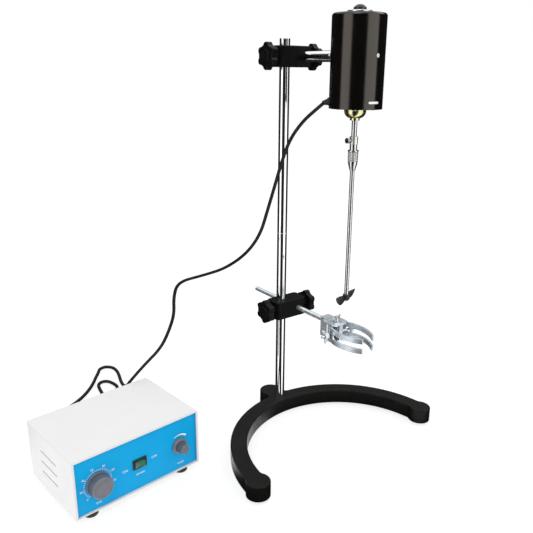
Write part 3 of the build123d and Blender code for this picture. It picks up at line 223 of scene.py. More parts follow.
class NodeSheet(NodeTree):
    """A finish's material, with short calls for the nodes that the finishes share."""

    def __init__(self, name: str) -> None:
        """Start the material.

        Args:
            name: the material's name.
        """
        self.material = bpy.data.materials.new(name)
        super().__init__(self.material)
        output = self.add("ShaderNodeOutputMaterial")
        self.shader = self.add("ShaderNodeBsdfPrincipled")
        self.link(self.shader.outputs["BSDF"], output.inputs["Surface"])
        self.place = self.add("ShaderNodeTexCoord").outputs["Object"]

    def set(self, name: str, value: object) -> None:
        """Set a constant on the shader's own socket."""
        self.shader.inputs[name].default_value = value

    def noise(self, size: float, detail: float = 4.0, rough: float = 0.55, warp: float = 0.0,
              stretch: Triple = (1.0, 1.0, 1.0)) -> Socket:
        """Noise of a feature size, in object space.

        Args:
            size: size of its features, in metres.
            detail: octaves.
            rough: weight of the finer octaves.
            warp: distortion.
            stretch: scale along each axis.

        Returns:
            The noise value's socket.
        """
        spread = self.add("ShaderNodeMapping", Scale=stretch)
        self.link(self.place, spread.inputs["Vector"])
        cloud = self.add(
            "ShaderNodeTexNoise", Scale=1.0 / size, Detail=detail, Roughness=rough, Distortion=warp
        )
        self.link(spread.outputs["Vector"], cloud.inputs["Vector"])
        return cloud.outputs["Fac"]

    def cells(self, size: float) -> Socket:
        """Distance to the nearest of many scattered points.

        Args:
            size: spacing of the points, in metres.

        Returns:
            The distance's socket.
        """
        cell = self.add("ShaderNodeTexVoronoi", Scale=1.0 / size)
        cell.feature = "SMOOTH_F1"
        self.link(self.place, cell.inputs["Vector"])
        return cell.outputs["Distance"]

    def lines(self, size: float) -> Socket:
        """Fine parallel lines, one above the other.

        Args:
            size: their spacing, in metres.

        Returns:
            The wave's value socket.
        """
        wave = self.add("ShaderNodeTexWave", Scale=0.314 / size, Distortion=0.6, Detail=3.0, Detail_Scale=2.0)
        wave.bands_direction = "Z"
        self.link(self.place, wave.inputs["Vector"])
        return wave.outputs["Fac"]

    def mixed(self, share: Socket, first: tuple, second: tuple) -> Socket:
        """Colour between two colours.

        Args:
            share: socket with the second colour's share.
            first: first colour.
            second: second colour.

        Returns:
            The colour's socket.
        """
        ramp = self.add("ShaderNodeValToRGB")
        ramp.color_ramp.elements[0].color = (*first, 1.0)
        ramp.color_ramp.elements[1].color = (*second, 1.0)
        self.link(share, ramp.inputs["Fac"])
        return ramp.outputs["Color"]

    def over(self, share: Socket, under: Socket, upper: tuple) -> Socket:
        """A plain colour laid over a coloured socket.

        Args:
            share: socket with the upper colour's share.
            under: socket of the colour below.
            upper: colour above.

        Returns:
            The colour's socket.
        """
        node = self.add("ShaderNodeMix")
        node.data_type = "RGBA"
        node.inputs[7].default_value = (*upper, 1.0)
        self.link(share, node.inputs[0])
        self.link(under, node.inputs[6])
        return node.outputs[2]

    def rounded(self, radius: float) -> Socket:
        """Normal of the surface with its edges softened.

        Args:
            radius: radius of the softened edges, in metres.

        Returns:
            The normal's socket.
        """
        bevel = self.add("ShaderNodeBevel", Radius=radius)
        bevel.samples = 4
        return bevel.outputs["Normal"]

    def edges(self, softened: Socket) -> Socket:
        """Share of edge, for paint wear and painted edge highlight, from how far a softened normal turns from the
        true one.

        Args:
            softened: socket of the softened normal.

        Returns:
            The share's socket, 0 on a face and up to 1 at an edge.
        """
        true = self.add("ShaderNodeNewGeometry")
        dot = self.add("ShaderNodeVectorMath")
        dot.operation = "DOT_PRODUCT"
        self.link(softened, dot.inputs[0])
        self.link(true.outputs["Normal"], dot.inputs[1])
        return self.ranged(dot.outputs["Value"], 1.0, 0.0, start=0.75, end=0.985)

    def with_painted_shade(self, colour: Socket, share: float, reach: float) -> Socket:
        """Colour with painted shade: darkened by ambient occlusion in grooves and corners.

        Args:
            colour: socket of the colour.
            share: how much of it is lost to painted shade where the surface is hemmed in.
            reach: how near a neighbour darkens it with painted shade, in metres.

        Returns:
            The colour's socket.
        """
        occlusion = self.add("ShaderNodeAmbientOcclusion", Distance=reach)
        occlusion.samples = 8
        shade_share = self.ranged(occlusion.outputs["AO"], share, 0.0, start=0.35, end=0.95)
        return self.over(shade_share, colour, (0.0, 0.0, 0.0))

    def bump(self, height: Socket, depth: float, normal: Socket) -> Socket:
        """Relief from a height.

        Args:
            height: socket of the height, from 0 to 1.
            depth: depth of the relief, in metres.
            normal: normal that it is laid on.

        Returns:
            The normal's socket.
        """
        node = self.add("ShaderNodeBump", Distance=depth, Strength=1.0)
        self.link(height, node.inputs["Height"])
        self.link(normal, node.inputs["Normal"])
        return node.outputs["Normal"]


@dataclass(frozen=True)
class Finish:
    """A finish of the object: colours, gloss and relief, all from nodes."""

    name: str
    colour: Triple
    shade: Triple
    texture: Texture
    gloss: Pair = (0.4, 0.5)
    metal: float = 0.0
    grain: float = 0.0012
    depth: float = 0.00004
    edge: float = 0.0006
    # lighter colour laid on edges: paint wear, and a painted highlight on the control knobs' rims
    wear_and_edge_highlight: Triple | None = None
    wear_and_highlight_share: float = 0.0
    mottle: float = 0.03
    # painted shade: share of colour lost in grooves and corners, and how far a neighbour darkens it
    painted_crevice_shade: float = 0.0
    painted_shade_reach: float = 0.002
    shine: float = 0.5
    sheen_tint: Triple = (1.0, 1.0, 1.0)

    def relief(self, sheet: NodeSheet) -> Socket:
        """Height of this finish's relief.

        Args:
            sheet: the material's node sheet.

        Returns:
            The height's socket, from 0 to 1.
        """
        if self.texture is Texture.WRINKLE:
            pits = sheet.cells(self.grain)
            return sheet.maths("MULTIPLY", pits, sheet.noise(self.grain * 2.2, warp=0.8))
        if self.texture is Texture.CAST:
            lumps = sheet.noise(self.grain * 5)
            return sheet.maths("ADD", lumps, sheet.noise(self.grain, detail=6))
        if self.texture in (Texture.PEEL, Texture.PLATED):
            return sheet.noise(self.grain, detail=2, rough=0.4)
        if self.texture is Texture.MOULDED:
            return sheet.noise(self.grain, detail=6, rough=0.7)
        if self.texture is Texture.DRAWN:
            return sheet.noise(self.grain, detail=3, stretch=(1, 1, 0.02))
        return sheet.lines(self.grain)

    def make(self) -> bpy.types.Material:
        """Build the material.

        Returns:
            The new material.
        """
        sheet = NodeSheet(self.name)
        height = self.relief(sheet)
        patches = sheet.ranged(sheet.noise(self.mottle), 0.0, 1.0)
        tint = sheet.mixed(patches, self.colour, self.shade)
        softened = sheet.rounded(self.edge)
        # edge wear and painted highlight: edges lightened in the colour; on the control knobs this paints the rim
        # highlight
        if self.wear_and_edge_highlight is not None:
            worn_and_lit_edge = sheet.maths("MULTIPLY", sheet.edges(softened), self.wear_and_highlight_share)
            worn_and_lit_edge = sheet.maths("MULTIPLY", worn_and_lit_edge, sheet.ranged(sheet.noise(0.004), 0.0, 1.0))
            tint = sheet.over(worn_and_lit_edge, tint, self.wear_and_edge_highlight)
        # painted shade: grooves and corners darkened in the colour by ambient occlusion
        if self.painted_crevice_shade > 0:
            tint = sheet.with_painted_shade(tint, self.painted_crevice_shade, self.painted_shade_reach)
        sheet.link(tint, sheet.shader.inputs["Base Color"])
        low, high = self.gloss
        smudge = sheet.ranged(sheet.noise(self.mottle * 0.4, detail=5), low, high)
        sheet.link(smudge, sheet.shader.inputs["Roughness"])
        sheet.set("Metallic", self.metal)
        sheet.set("Specular IOR Level", self.shine)
        sheet.set("Specular Tint", (*self.sheen_tint, 1.0))
        sheet.link(sheet.bump(height, self.depth, softened), sheet.shader.inputs["Normal"])
        return sheet.material


@dataclass(frozen=True)
class GlowingRocker:
    """Green rocker of clear moulded plastic that lets light through."""

    name: str = "rocker_green"
    colour: Triple = (0.002, 0.055, 0.030)
    shade: Triple = (0.008, 0.20, 0.10)

    def make(self) -> bpy.types.Material:
        """Build the material.

        Returns:
            The new material.
        """
        sheet = NodeSheet(self.name)
        streaks = sheet.ranged(sheet.noise(0.003, stretch=(1, 1, 0.3)), 0.0, 1.0)
        sheet.link(sheet.mixed(streaks, self.colour, self.shade), sheet.shader.inputs["Base Color"])
        sheet.link(sheet.ranged(sheet.noise(0.002), 0.12, 0.2), sheet.shader.inputs["Roughness"])
        sheet.set("Coat Weight", 0.6)
        normal = sheet.bump(sheet.noise(0.0015), 0.00001, sheet.rounded(0.0004))
        sheet.link(normal, sheet.shader.inputs["Normal"])
        return sheet.material


FINISHES = {finish.name: finish for finish in (
    Finish(
        "wrinkle_paint", (0.0035, 0.004, 0.0035), (0.007, 0.007, 0.006), Texture.WRINKLE, gloss=(0.34, 0.48),
        grain=0.0018, depth=0.0003, shine=0.12, edge=0.0015, wear_and_edge_highlight=(0.06, 0.058, 0.054), wear_and_highlight_share=0.5,
        mottle=0.02, painted_crevice_shade=0.8, painted_shade_reach=0.012,
    ),
    Finish(
        "head_paint", (0.003, 0.003, 0.0033), (0.006, 0.006, 0.0065), Texture.CAST, gloss=(0.34, 0.48),
        grain=0.0009, depth=0.00008, edge=0.0010, wear_and_edge_highlight=(0.07, 0.07, 0.07), wear_and_highlight_share=0.6, mottle=0.012,
        shine=0.07,
    ),
    Finish(
        "foot_rubber", (0.008, 0.008, 0.008), (0.016, 0.016, 0.016), Texture.MOULDED, gloss=(0.65, 0.8),
        grain=0.0007, depth=0.00004, mottle=0.008,
    ),
    Finish(
        "column_chrome", (0.82, 0.83, 0.85), (0.74, 0.75, 0.77), Texture.DRAWN, gloss=(0.045, 0.09), metal=1.0,
        grain=0.0008, depth=0.0000004, edge=0.0003, mottle=0.05,
    ),
    Finish(
        "knob_plastic", (0.003, 0.003, 0.0033), (0.006, 0.006, 0.0065), Texture.MOULDED, gloss=(0.26, 0.38),
        grain=0.0005, depth=0.00002, edge=0.0008, wear_and_edge_highlight=(0.05, 0.05, 0.05), wear_and_highlight_share=0.4, mottle=0.01, shine=0.12,
    ),
    Finish(
        "motor_paint", (0.0015, 0.0013, 0.0011), (0.0025, 0.0022, 0.002), Texture.PEEL, gloss=(0.12, 0.18),
        grain=0.004, depth=0.00002, edge=0.0008, wear_and_edge_highlight=(0.05, 0.045, 0.04), wear_and_highlight_share=0.35,
        mottle=0.04, shine=0.72, sheen_tint=(1.0, 0.9, 0.82),
    ),
    Finish(
        "bright_steel", (0.66, 0.66, 0.67), (0.52, 0.52, 0.53), Texture.TURNED, gloss=(0.16, 0.28), metal=1.0,
        grain=0.0005, depth=0.000015, edge=0.0003, mottle=0.008,
    ),
    Finish(
        "warm_nickel", (0.80, 0.77, 0.73), (0.70, 0.67, 0.63), Texture.TURNED, gloss=(0.30, 0.42), metal=0.9,
        grain=0.0006, depth=0.000004, edge=0.0003, mottle=0.008, painted_crevice_shade=0.8, painted_shade_reach=0.0015,
    ),
    Finish(
        "brass", (0.74, 0.66, 0.36), (0.56, 0.57, 0.30), Texture.TURNED, gloss=(0.14, 0.26), metal=1.0,
        grain=0.0006, depth=0.00001, edge=0.0004, mottle=0.009,
    ),
    Finish(
        "dome_plastic", (0.010, 0.010, 0.011), (0.018, 0.018, 0.019), Texture.PEEL, gloss=(0.12, 0.2),
        grain=0.003, depth=0.00001, mottle=0.01,
    ),
    Finish(
        "laminations", (0.22, 0.22, 0.23), (0.12, 0.12, 0.13), Texture.STACKED, gloss=(0.35, 0.5), metal=1.0,
        grain=0.0005, depth=0.00008, mottle=0.01,
    ),
    Finish(
        "copper", (0.55, 0.24, 0.10), (0.42, 0.16, 0.07), Texture.WOUND, gloss=(0.25, 0.35), metal=1.0,
        grain=0.0006, depth=0.0001, mottle=0.006,
    ),
    Finish(
        "carbon", (0.03, 0.03, 0.03), (0.05, 0.05, 0.05), Texture.CAST, gloss=(0.5, 0.65),
        grain=0.0005, depth=0.00002, mottle=0.006,
    ),
    Finish(
        "phenolic", (0.16, 0.07, 0.03), (0.10, 0.045, 0.02), Texture.MOULDED, gloss=(0.4, 0.5),
        grain=0.001, depth=0.00002, mottle=0.01,
    ),
    Finish(
        "paddle_metal", (0.040, 0.038, 0.034), (0.018, 0.017, 0.015), Texture.CAST, gloss=(0.34, 0.46),
        grain=0.0006, depth=0.00004, edge=0.0005, wear_and_edge_highlight=(0.4, 0.4, 0.4), wear_and_highlight_share=0.5, mottle=0.006,
        metal=0.3, shine=0.3,
    ),
    Finish(
        "zinc", (0.80, 0.86, 0.90), (0.70, 0.77, 0.81), Texture.PLATED, gloss=(0.30, 0.42), metal=0.85,
        grain=0.003, depth=0.000006, edge=0.0008, mottle=0.007,
        painted_crevice_shade=0.75, painted_shade_reach=0.006,
    ),
    Finish(
        "case_paint", (0.780, 0.780, 0.778), (0.760, 0.760, 0.762), Texture.PEEL, gloss=(0.42, 0.5), shine=0.3,
        grain=0.0014, depth=0.00003, edge=0.0008, mottle=0.05,
    ),
    Finish(
        "panel_print", (0.005, 0.39, 0.77), (0.004, 0.37, 0.74), Texture.PEEL, gloss=(0.34, 0.42), shine=0.12,
        grain=0.002, depth=0.00001, edge=0.0004, mottle=0.04,
    ),
    Finish(
        "control_grey", (0.178, 0.182, 0.208), (0.148, 0.152, 0.175), Texture.MOULDED, gloss=(0.36, 0.46),
        # light edge colour: painted highlight on the knob rims, with some wear
        grain=0.0006, depth=0.00002, edge=0.0006, wear_and_edge_highlight=(0.55, 0.55, 0.58), wear_and_highlight_share=0.8, mottle=0.01,
        painted_crevice_shade=0.85,
    ),
    Finish(
        "switch_black", (0.010, 0.011, 0.012), (0.018, 0.019, 0.02), Texture.MOULDED, gloss=(0.25, 0.35),
        grain=0.0005, depth=0.00001, edge=0.0004, mottle=0.006,
    ),
    GlowingRocker(),
    Finish(
        "board_green", (0.02, 0.14, 0.06), (0.03, 0.18, 0.08), Texture.PEEL, gloss=(0.3, 0.4),
        grain=0.001, depth=0.00002, mottle=0.006,
    ),
    Finish(
        "lead_pvc", (0.003, 0.003, 0.003), (0.006, 0.006, 0.006), Texture.MOULDED, gloss=(0.36, 0.46),
        grain=0.0008, depth=0.00002, edge=0.0002, mottle=0.01, shine=0.3,
    ),
    Finish(
        "print_white", (0.93, 0.95, 0.96), (0.88, 0.92, 0.95), Texture.PEEL, gloss=(0.5, 0.6),
        grain=0.001, depth=0.000004, edge=0.00005, mottle=0.01,
    ),
    Finish(
        "blank_paint", (0.0015, 0.0013, 0.0011), (0.0025, 0.0022, 0.002), Texture.PEEL, gloss=(0.12, 0.18),
        grain=0.004, depth=0.00002, mottle=0.04, edge=0.00001, shine=0.72, sheen_tint=(1.0, 0.9, 0.82),
    ),
    Finish(
        "liner_white", (0.85, 0.86, 0.84), (0.78, 0.79, 0.77), Texture.MOULDED, gloss=(0.4, 0.5),
        grain=0.001, depth=0.00001, mottle=0.01,
    ),
)}

PLATING = {
    "coupling_collar": "warm_nickel",
    "front_screw": "zinc",
    "chuck_sleeve": "warm_nickel",
}


class Wardrobe:
    """The finishes, each made into a material once."""

    def __init__(self) -> None:
        """Make every material."""
        self.materials = {name: finish.make() for name, finish in FINISHES.items()}

    def dress(self, piece: bpy.types.Object, finish: str) -> None:
        """Give a piece its finish.

        Args:
            piece: the object to finish.
            finish: the finish's name.
        """
        piece.data.materials.clear()
        piece.data.materials.append(self.materials[finish])

    def dress_nodes(self, frame: dict) -> None:
        """Give each solid of the frame the finish that its slot names, or its own plating.

        Args:
            frame: the loaded frame.
        """
        for part in frame["record"]["subparts"]:
            finish = PLATING.get(part["node"], part["material_slot"])
            self.dress(frame["nodes"][part["node"]], finish)
            log.info("dressed %s as %s", part["node"], finish)


def new_mesh(name: str, shape: bmesh.types.BMesh, smooth: bool = True) -> bpy.types.Object:
    """Object made of a finished bmesh.

    Args:
        name: the piece's name.
        shape: the bmesh, which is freed.
        smooth: whether its faces shade smoothly.

    Returns:
        The new object, linked to the scene.
    """
    bmesh.ops.recalc_face_normals(shape, faces=shape.faces)
    mesh = bpy.data.meshes.new(name)
    shape.to_mesh(mesh)
    shape.free()
    for face in mesh.polygons:
        face.use_smooth = smooth
    piece = bpy.data.objects.new(name, mesh)
    bpy.context.scene.collection.objects.link(piece)
    return piece


def turned(name: str, outline: tuple) -> bpy.types.Object:
    """Solid turned about the vertical axis.

    Args:
        name: the piece's name.
        outline: its profile as radius and height, in metres.

    Returns:
        The new object.
    """
    shape = bmesh.new()
    corners = [shape.verts.new((radius, 0.0, height)) for radius, height in outline]
    edges = [shape.edges.new(pair) for pair in zip(corners, corners[1:])]
    bmesh.ops.spin(
        shape, geom=corners + edges, cent=(0, 0, 0), axis=UP, angle=2 * math.pi, steps=TURNED_SIDES,
        use_merge=True,
    )
    bmesh.ops.remove_doubles(shape, verts=shape.verts, dist=SAME_POINT)
    piece = new_mesh(name, shape)
    piece.data.set_sharp_from_angle(angle=SHARP_ANGLE)
    return piece


def skin(shape: bmesh.types.BMesh, rings: list[list[Vector]]) -> None:
    """Add a closed skin over rings of points.

    Args:
        shape: the bmesh to add to.
        rings: the rings in order, each with as many points.
    """
    loops = [[shape.verts.new(point) for point in ring] for ring in rings]
    for lower, upper in zip(loops, loops[1:]):
        for index in range(len(lower)):
            after = (index + 1) % len(lower)
            shape.faces.new([lower[index], lower[after], upper[after], upper[index]])
    shape.faces.new(list(reversed(loops[0])))
    shape.faces.new(loops[-1])


def new_curve(name: str, points: list[Vector], radius: float) -> bpy.types.Object:
    """Round cord along a smooth NURBS line.

    Args:
        name: the piece's name.
        points: the line's control points.
        radius: the cord's radius, in metres, or 0 for a bare line.

    Returns:
        The new curve object, linked to the scene.
    """
    curve = bpy.data.curves.new(name, "CURVE")
    curve.dimensions = "3D"
    curve.resolution_u = 8
    curve.bevel_depth = radius
    curve.bevel_resolution = 5
    curve.use_fill_caps = radius > 0
    spline = curve.splines.new("NURBS")
    spline.points.add(len(points) - 1)
    for target, point in zip(spline.points, points):
        target.co = (*point, 1.0)
    spline.order_u = 3
    spline.use_endpoint_u = True
    spline.use_smooth = True
    piece = bpy.data.objects.new(name, curve)
    bpy.context.scene.collection.objects.link(piece)
    return piece


def line_of(points: list[Vector]) -> list[Vector]:
    """Points along the smooth NURBS line of some control points.

    Args:
        points: the control points.

    Returns:
        The line's own points, from start to end.
    """
    bare = new_curve("route", points, 0.0)
    bpy.context.view_layer.update()
    mesh = bpy.data.meshes.new_from_object(bare)
    line = [vertex.co.copy() for vertex in mesh.vertices]
    bpy.data.meshes.remove(mesh)
    bpy.data.objects.remove(bare)
    return line


def length_of(line: list[Vector]) -> float:
    """Length of a line of points."""
    return sum((b - a).length for a, b in zip(line, line[1:]))


@dataclass
class Camera:
    """The camera, at the photograph's viewing angle."""

    place: Triple = (-0.50124, -0.73727, 0.5819)
    heading: float = 52.7
    pitch: float = 17.497
    roll: float = 0.596
    lens: float = 42.05
    shift: float = -0.01123
    sensor: float = 36.0
    far: float = 50.0

    def build(self) -> None:
        """Create the camera and make it the scene's."""
        heading = math.radians(self.heading)
        pitch = math.radians(self.pitch)
        forward = Vector((
            math.cos(heading) * math.cos(pitch), math.sin(heading) * math.cos(pitch), -math.sin(pitch)
        ))
        right = Vector((math.sin(heading), -math.cos(heading), 0.0))
        up = right.cross(forward)
        turn = Matrix((right, up, -forward)).transposed().to_4x4()
        data = bpy.data.cameras.new("camera")
        data.lens = self.lens
        data.sensor_width = self.sensor
        data.sensor_fit = "HORIZONTAL"
        data.shift_x = self.shift
        data.clip_end = self.far
        camera = bpy.data.objects.new("camera", data)
        camera.matrix_world = (
            Matrix.Translation(self.place) @ turn @ Matrix.Rotation(math.radians(self.roll), 4, "Z")
        )
        bpy.context.scene.collection.objects.link(camera)
        bpy.context.scene.camera = camera


@dataclass
class Studio:
    """Pale floor, soft light and the tall bright panels that polished metal shows."""

    floor_radius: float = 6.0
    floor_sides: int = 96
    floor_level: float = -0.0002
    shadow_share: float = 0.32
    fill: float = 1.0
    glint: float = 1.65
    white: float = 1.12
    ceiling: Pair = (0.42, 0.62)
    ceiling_level: float = 1.3
    dark: float = 0.02
    bands: tuple[Pair, ...] = ((162.0, 192.0), (266.0, 308.0))
    soft: float = 9.0
    key_watts: float = 12.0
    rim_watts: float = 6.0
    centre: Pair = (0.125, 0.0)
    aim: Triple = (0.0, 0.0, 0.25)

    def glints(self, tree: NodeTree, across: Socket, along: Socket) -> Socket:
        """Brightness of the studio by its compass direction, for reflections only.

        Args:
            tree: the node tree to add to.
            across: socket of the direction's X.
            along: socket of the direction's Y.

        Returns:
            The brightness socket.
        """
        ramp = tree.add("ShaderNodeValToRGB")
        heading = tree.maths("ARCTAN2", along, across)
        tree.link(tree.ranged(heading, 0.0, 1.0, start=-math.pi, end=math.pi), ramp.inputs["Fac"])
        stops = ramp.color_ramp
        stops.interpolation = "EASE"
        seam = 1.0 if any(low < 180.0 < high for low, high in self.bands) else 0.0
        for stop, place in zip(stops.elements, (0.0, 1.0)):
            stop.position = place
            stop.color = (seam, seam, seam, 1)
        for low, high in self.bands:
            for degrees, value in ((low - self.soft, 0), (low, 1), (high, 1), (high + self.soft, 0)):
                place = ((degrees + 180.0) % 360.0) / 360.0
                stops.elements.new(place).color = (value, value, value, 1)
        return tree.ranged(ramp.outputs["Color"], self.dark, self.glint, start=0.0, end=1.0)

    def build_world(self) -> None:
        """White to the camera, soft grey to the object, and panels in reflections under a bright ceiling."""
        world = bpy.data.worlds.new("studio")
        bpy.context.scene.world = world
        tree = NodeTree(world)
        rays = tree.add("ShaderNodeLightPath")
        parts = tree.add("ShaderNodeSeparateXYZ")
        tree.link(tree.add("ShaderNodeTexCoord").outputs["Generated"], parts.inputs[0])
        glint = self.glints(tree, parts.outputs["X"], parts.outputs["Y"])
        low, high = self.ceiling
        roof = tree.ranged(parts.outputs["Z"], 0.0, 1.0, start=low, end=high)
        roofed = tree.between(roof, glint, self.ceiling_level)
        shiny = tree.between(rays.outputs["Is Glossy Ray"], self.fill, roofed)
        light = tree.add("ShaderNodeBackground", Color=(1, 1, 1, 1))
        tree.link(tree.between(rays.outputs["Is Camera Ray"], shiny, 1.0), light.inputs["Strength"])
        tree.link(light.outputs[0], tree.add("ShaderNodeOutputWorld").inputs["Surface"])

    def build_floor(self) -> None:
        """A pale floor that is white to the camera and keeps the object's shadow."""
        shape = bmesh.new()
        bmesh.ops.create_circle(shape, cap_ends=True, segments=self.floor_sides, radius=self.floor_radius)
        floor = new_mesh("floor", shape, smooth=False)
        floor.location.z = self.floor_level
        material = bpy.data.materials.new("floor")
        tree = NodeTree(material)
        offset = tree.add("ShaderNodeVectorMath")
        offset.operation = "SUBTRACT"
        offset.inputs[1].default_value = (*self.centre, 0.0)
        tree.link(tree.add("ShaderNodeTexCoord").outputs["Object"], offset.inputs[0])
        parts = tree.add("ShaderNodeSeparateXYZ")
        tree.link(offset.outputs[0], parts.inputs[0])
        rays = tree.add("ShaderNodeLightPath")
        matte = tree.add("ShaderNodeBsdfDiffuse", Color=(0.9, 0.9, 0.9, 1))
        white = tree.add("ShaderNodeEmission", Strength=self.white)
        panel = tree.add("ShaderNodeEmission")
        tree.link(self.glints(tree, parts.outputs["X"], parts.outputs["Y"]), panel.inputs["Strength"])
        share = tree.maths("MULTIPLY", rays.outputs["Is Camera Ray"], 1.0 - self.shadow_share)
        seen = tree.either(share, matte, white)
        shiny = tree.either(rays.outputs["Is Glossy Ray"], seen, panel)
        tree.link(shiny.outputs[0], tree.add("ShaderNodeOutputMaterial").inputs["Surface"])
        floor.data.materials.append(material)

    def build_lamp(self, name: str, place: Triple, watts: float, size: float) -> None:
        """One soft lamp aimed at the middle of the object.

        Args:
            name: the lamp's name.
            place: where it hangs, in metres.
            watts: its power.
            size: its width and height, in metres.
        """
        data = bpy.data.lights.new(name, "AREA")
        data.energy = watts
        data.size = size
        lamp = bpy.data.objects.new(name, data)
        lamp.location = place
        way = Vector(self.aim) - Vector(place)
        lamp.rotation_euler = way.to_track_quat("-Z", "Y").to_euler()
        lamp.visible_glossy = True
        bpy.context.scene.collection.objects.link(lamp)

    def build(self) -> None:
        """Build the world, the floor and the lamps."""
        self.build_world()
        self.build_floor()
        self.build_lamp("key", (-1.5, -1.2, 2.2), self.key_watts, 1.2)
        self.build_lamp("rim", (1.6, -0.6, 1.8), self.rim_watts, 1.0)
        bpy.context.scene.view_settings.view_transform = "Standard"


@dataclass
class Controller:
    """The controller's case: its own directions and its printed panel."""

    wardrobe: Wardrobe
    corner: Triple = (-0.4029, -0.0815, 0.009)
    yaw: float = 5.8
    panel_y: float = 0.002
    print_lift: float = 0.00006
    print_depth: float = 0.00002
    timer: Pair = (0.035, 0.041)
    timer_sweep: Pair = (228.0, -16.0)
    timer_labels: tuple[str, ...] = ("0", "20", "40", "60", "80", "100", "120")
    ticks_between: int = 5
    tick_inner: float = 0.0189
    tick_outer: float = 0.0214
    tick_extra: float = 0.0007
    tick_width: float = 0.0006
    label_radius: float = 0.0246
    label_size: float = 0.0042
    speed: Pair = (0.167, 0.041)
    arc_radius: float = 0.0178
    arc_sweep: Pair = (120.0, 48.0)
    arc_width: Pair = (0.0006, 0.0030)
    arc_steps: int = 24
    switch: Pair = (0.100, 0.042)
    word_size: float = 0.0052
    word_reach: float = 0.0235
    word_drop: float = 0.003
    caption_size: float = 0.0040
    captions: tuple[tuple[str, float, float], ...] = (
        ("TIME", 0.034, 0.0105), ("POWER", 0.100, 0.0256), ("SPEED", 0.168, 0.0115),
    )

    @property
    def right(self) -> Vector:
        """Direction along the panel, to the user's right."""
        return compass(self.yaw)

    @property
    def back(self) -> Vector:
        """Direction from the panel to the rear wall."""
        return UP.cross(self.right)

    def at(self, x: float, y: float, z: float) -> Vector:
        """Point measured from the case's lower front left corner.

        Args:
            x: distance to the right, in metres.
            y: distance back.
            z: distance up.

        Returns:
            The point in the scene's frame.
        """
        return spot(*self.corner) + self.right * x + self.back * y + UP * z

    def on_panel(self, x: float, z: float) -> Matrix:
        """Frame on the panel's face, with its Z out of the panel.

        Args:
            x: distance along the panel, in metres.
            z: height above the case's bottom.

        Returns:
            The frame as a matrix.
        """
        turn = Matrix((self.right, UP, -self.back)).transposed().to_4x4()
        return Matrix.Translation(self.at(x, self.panel_y - self.print_lift, z)) @ turn

    def add_print(self, piece: bpy.types.Object) -> None:
        """Finish a printed mark and let it go with the case."""
        self.wardrobe.dress(piece, "print_white")
        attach(piece, "stand")

    def print_word(self, words: str, place: Pair, size: float) -> None:
        """Print a short word or number on the panel.

        Args:
            words: what it says.
            place: its middle, along the panel and up.
            size: its letter height, in metres.
        """
        text = bpy.data.curves.new(f"print_{words}", "FONT")
        text.body = words
        text.size = size
        text.align_x = "CENTER"
        text.align_y = "CENTER"
        text.extrude = self.print_depth
        piece = bpy.data.objects.new(f"print_{words}", text)
        bpy.context.scene.collection.objects.link(piece)
        piece.matrix_world = self.on_panel(*place)
        self.add_print(piece)

    def print_ticks(self) -> None:
        """Print the timer's ring of ticks and its numbers."""
        shape = bmesh.new()
        start, end = self.timer_sweep
        steps = (len(self.timer_labels) - 1) * self.ticks_between
        for step in range(steps + 1):
            out = compass(start + (end - start) * step / steps)
            side = UP.cross(out) * self.tick_width / 2
            longer = self.tick_extra if step % self.ticks_between == 0 else 0.0
            inner = out * self.tick_inner
            outer = out * (self.tick_outer + longer)
            corners = (inner - side, outer - side, outer + side, inner + side)
            shape.faces.new([shape.verts.new(corner) for corner in corners])
        ticks = new_mesh("print_timer_ticks", shape, smooth=False)
        ticks.matrix_world = self.on_panel(*self.timer)
        self.add_print(ticks)
        for index, label in enumerate(self.timer_labels):
            angle = math.radians(start + (end - start) * index / (len(self.timer_labels) - 1))
            x = self.timer[0] + math.cos(angle) * self.label_radius
            z = self.timer[1] + math.sin(angle) * self.label_radius
            self.print_word(label, (x, z), self.label_size)

    def print_arc(self) -> None:
        """Print the arc over the speed knob, which widens as the speed rises."""
        shape = bmesh.new()
        start, end = self.arc_sweep
        thin, thick = self.arc_width
        rims = []
        for step in range(self.arc_steps + 1):
            share = step / self.arc_steps
            out = compass(start + (end - start) * share)
            half = (thin + (thick - thin) * share) / 2
            rims.append([shape.verts.new(out * (self.arc_radius + way * half)) for way in (-1, 1)])
        for first, second in zip(rims, rims[1:]):
            shape.faces.new([first[0], first[1], second[1], second[0]])
        arc = new_mesh("print_speed_arc", shape, smooth=False)
        arc.matrix_world = self.on_panel(*self.speed)
        self.add_print(arc)

    def build(self) -> None:
        """Print the panel."""
        self.print_ticks()
        self.print_arc()
        x, z = self.switch
        self.print_word("ON", (x - self.word_reach, z - self.word_drop), self.word_size)
        self.print_word("OFF", (x + self.word_reach, z), self.word_size)
        for words, along, up in self.captions:
            self.print_word(words, (along, up), self.caption_size)
        log.info("controller: printed panel")


@dataclass
class CaseFeet:
    """The controller's black rubber feet, fuller than their plain solids."""

    wardrobe: Wardrobe
    case: Controller
    radius: float = 0.0105
    waist: float = 0.0092
    inset: Pair = (0.026, 0.0125)
    width: float = 0.200
    depth: float = 0.140
    height: float = 0.0089
    edge: float = 0.0012
    taper: Pair = (0.55, 0.7)

    def build(self) -> None:
        """Build the four feet."""
        start, end = self.taper
        outline = (
            (0.0, 0.0), (self.radius - self.edge, 0.0), (self.radius, self.edge),
            (self.radius, self.height * start), (self.waist, self.height * end), (self.waist, self.height),
            (0.0, self.height),
        )
        across, back = self.inset
        for x in (across, self.width - across):
            for y in (back, self.depth - back):
                place = self.case.at(x, y, 0.0)
                place.z = 0.0
                foot = turned(f"case_foot_{round(x / MM)}_{round(y / MM)}", outline)
                foot.matrix_world = Matrix.Translation(place)
                self.wardrobe.dress(foot, "foot_rubber")
                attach(foot, "stand")
                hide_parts("case_feet")
        log.info("controller: four feet")


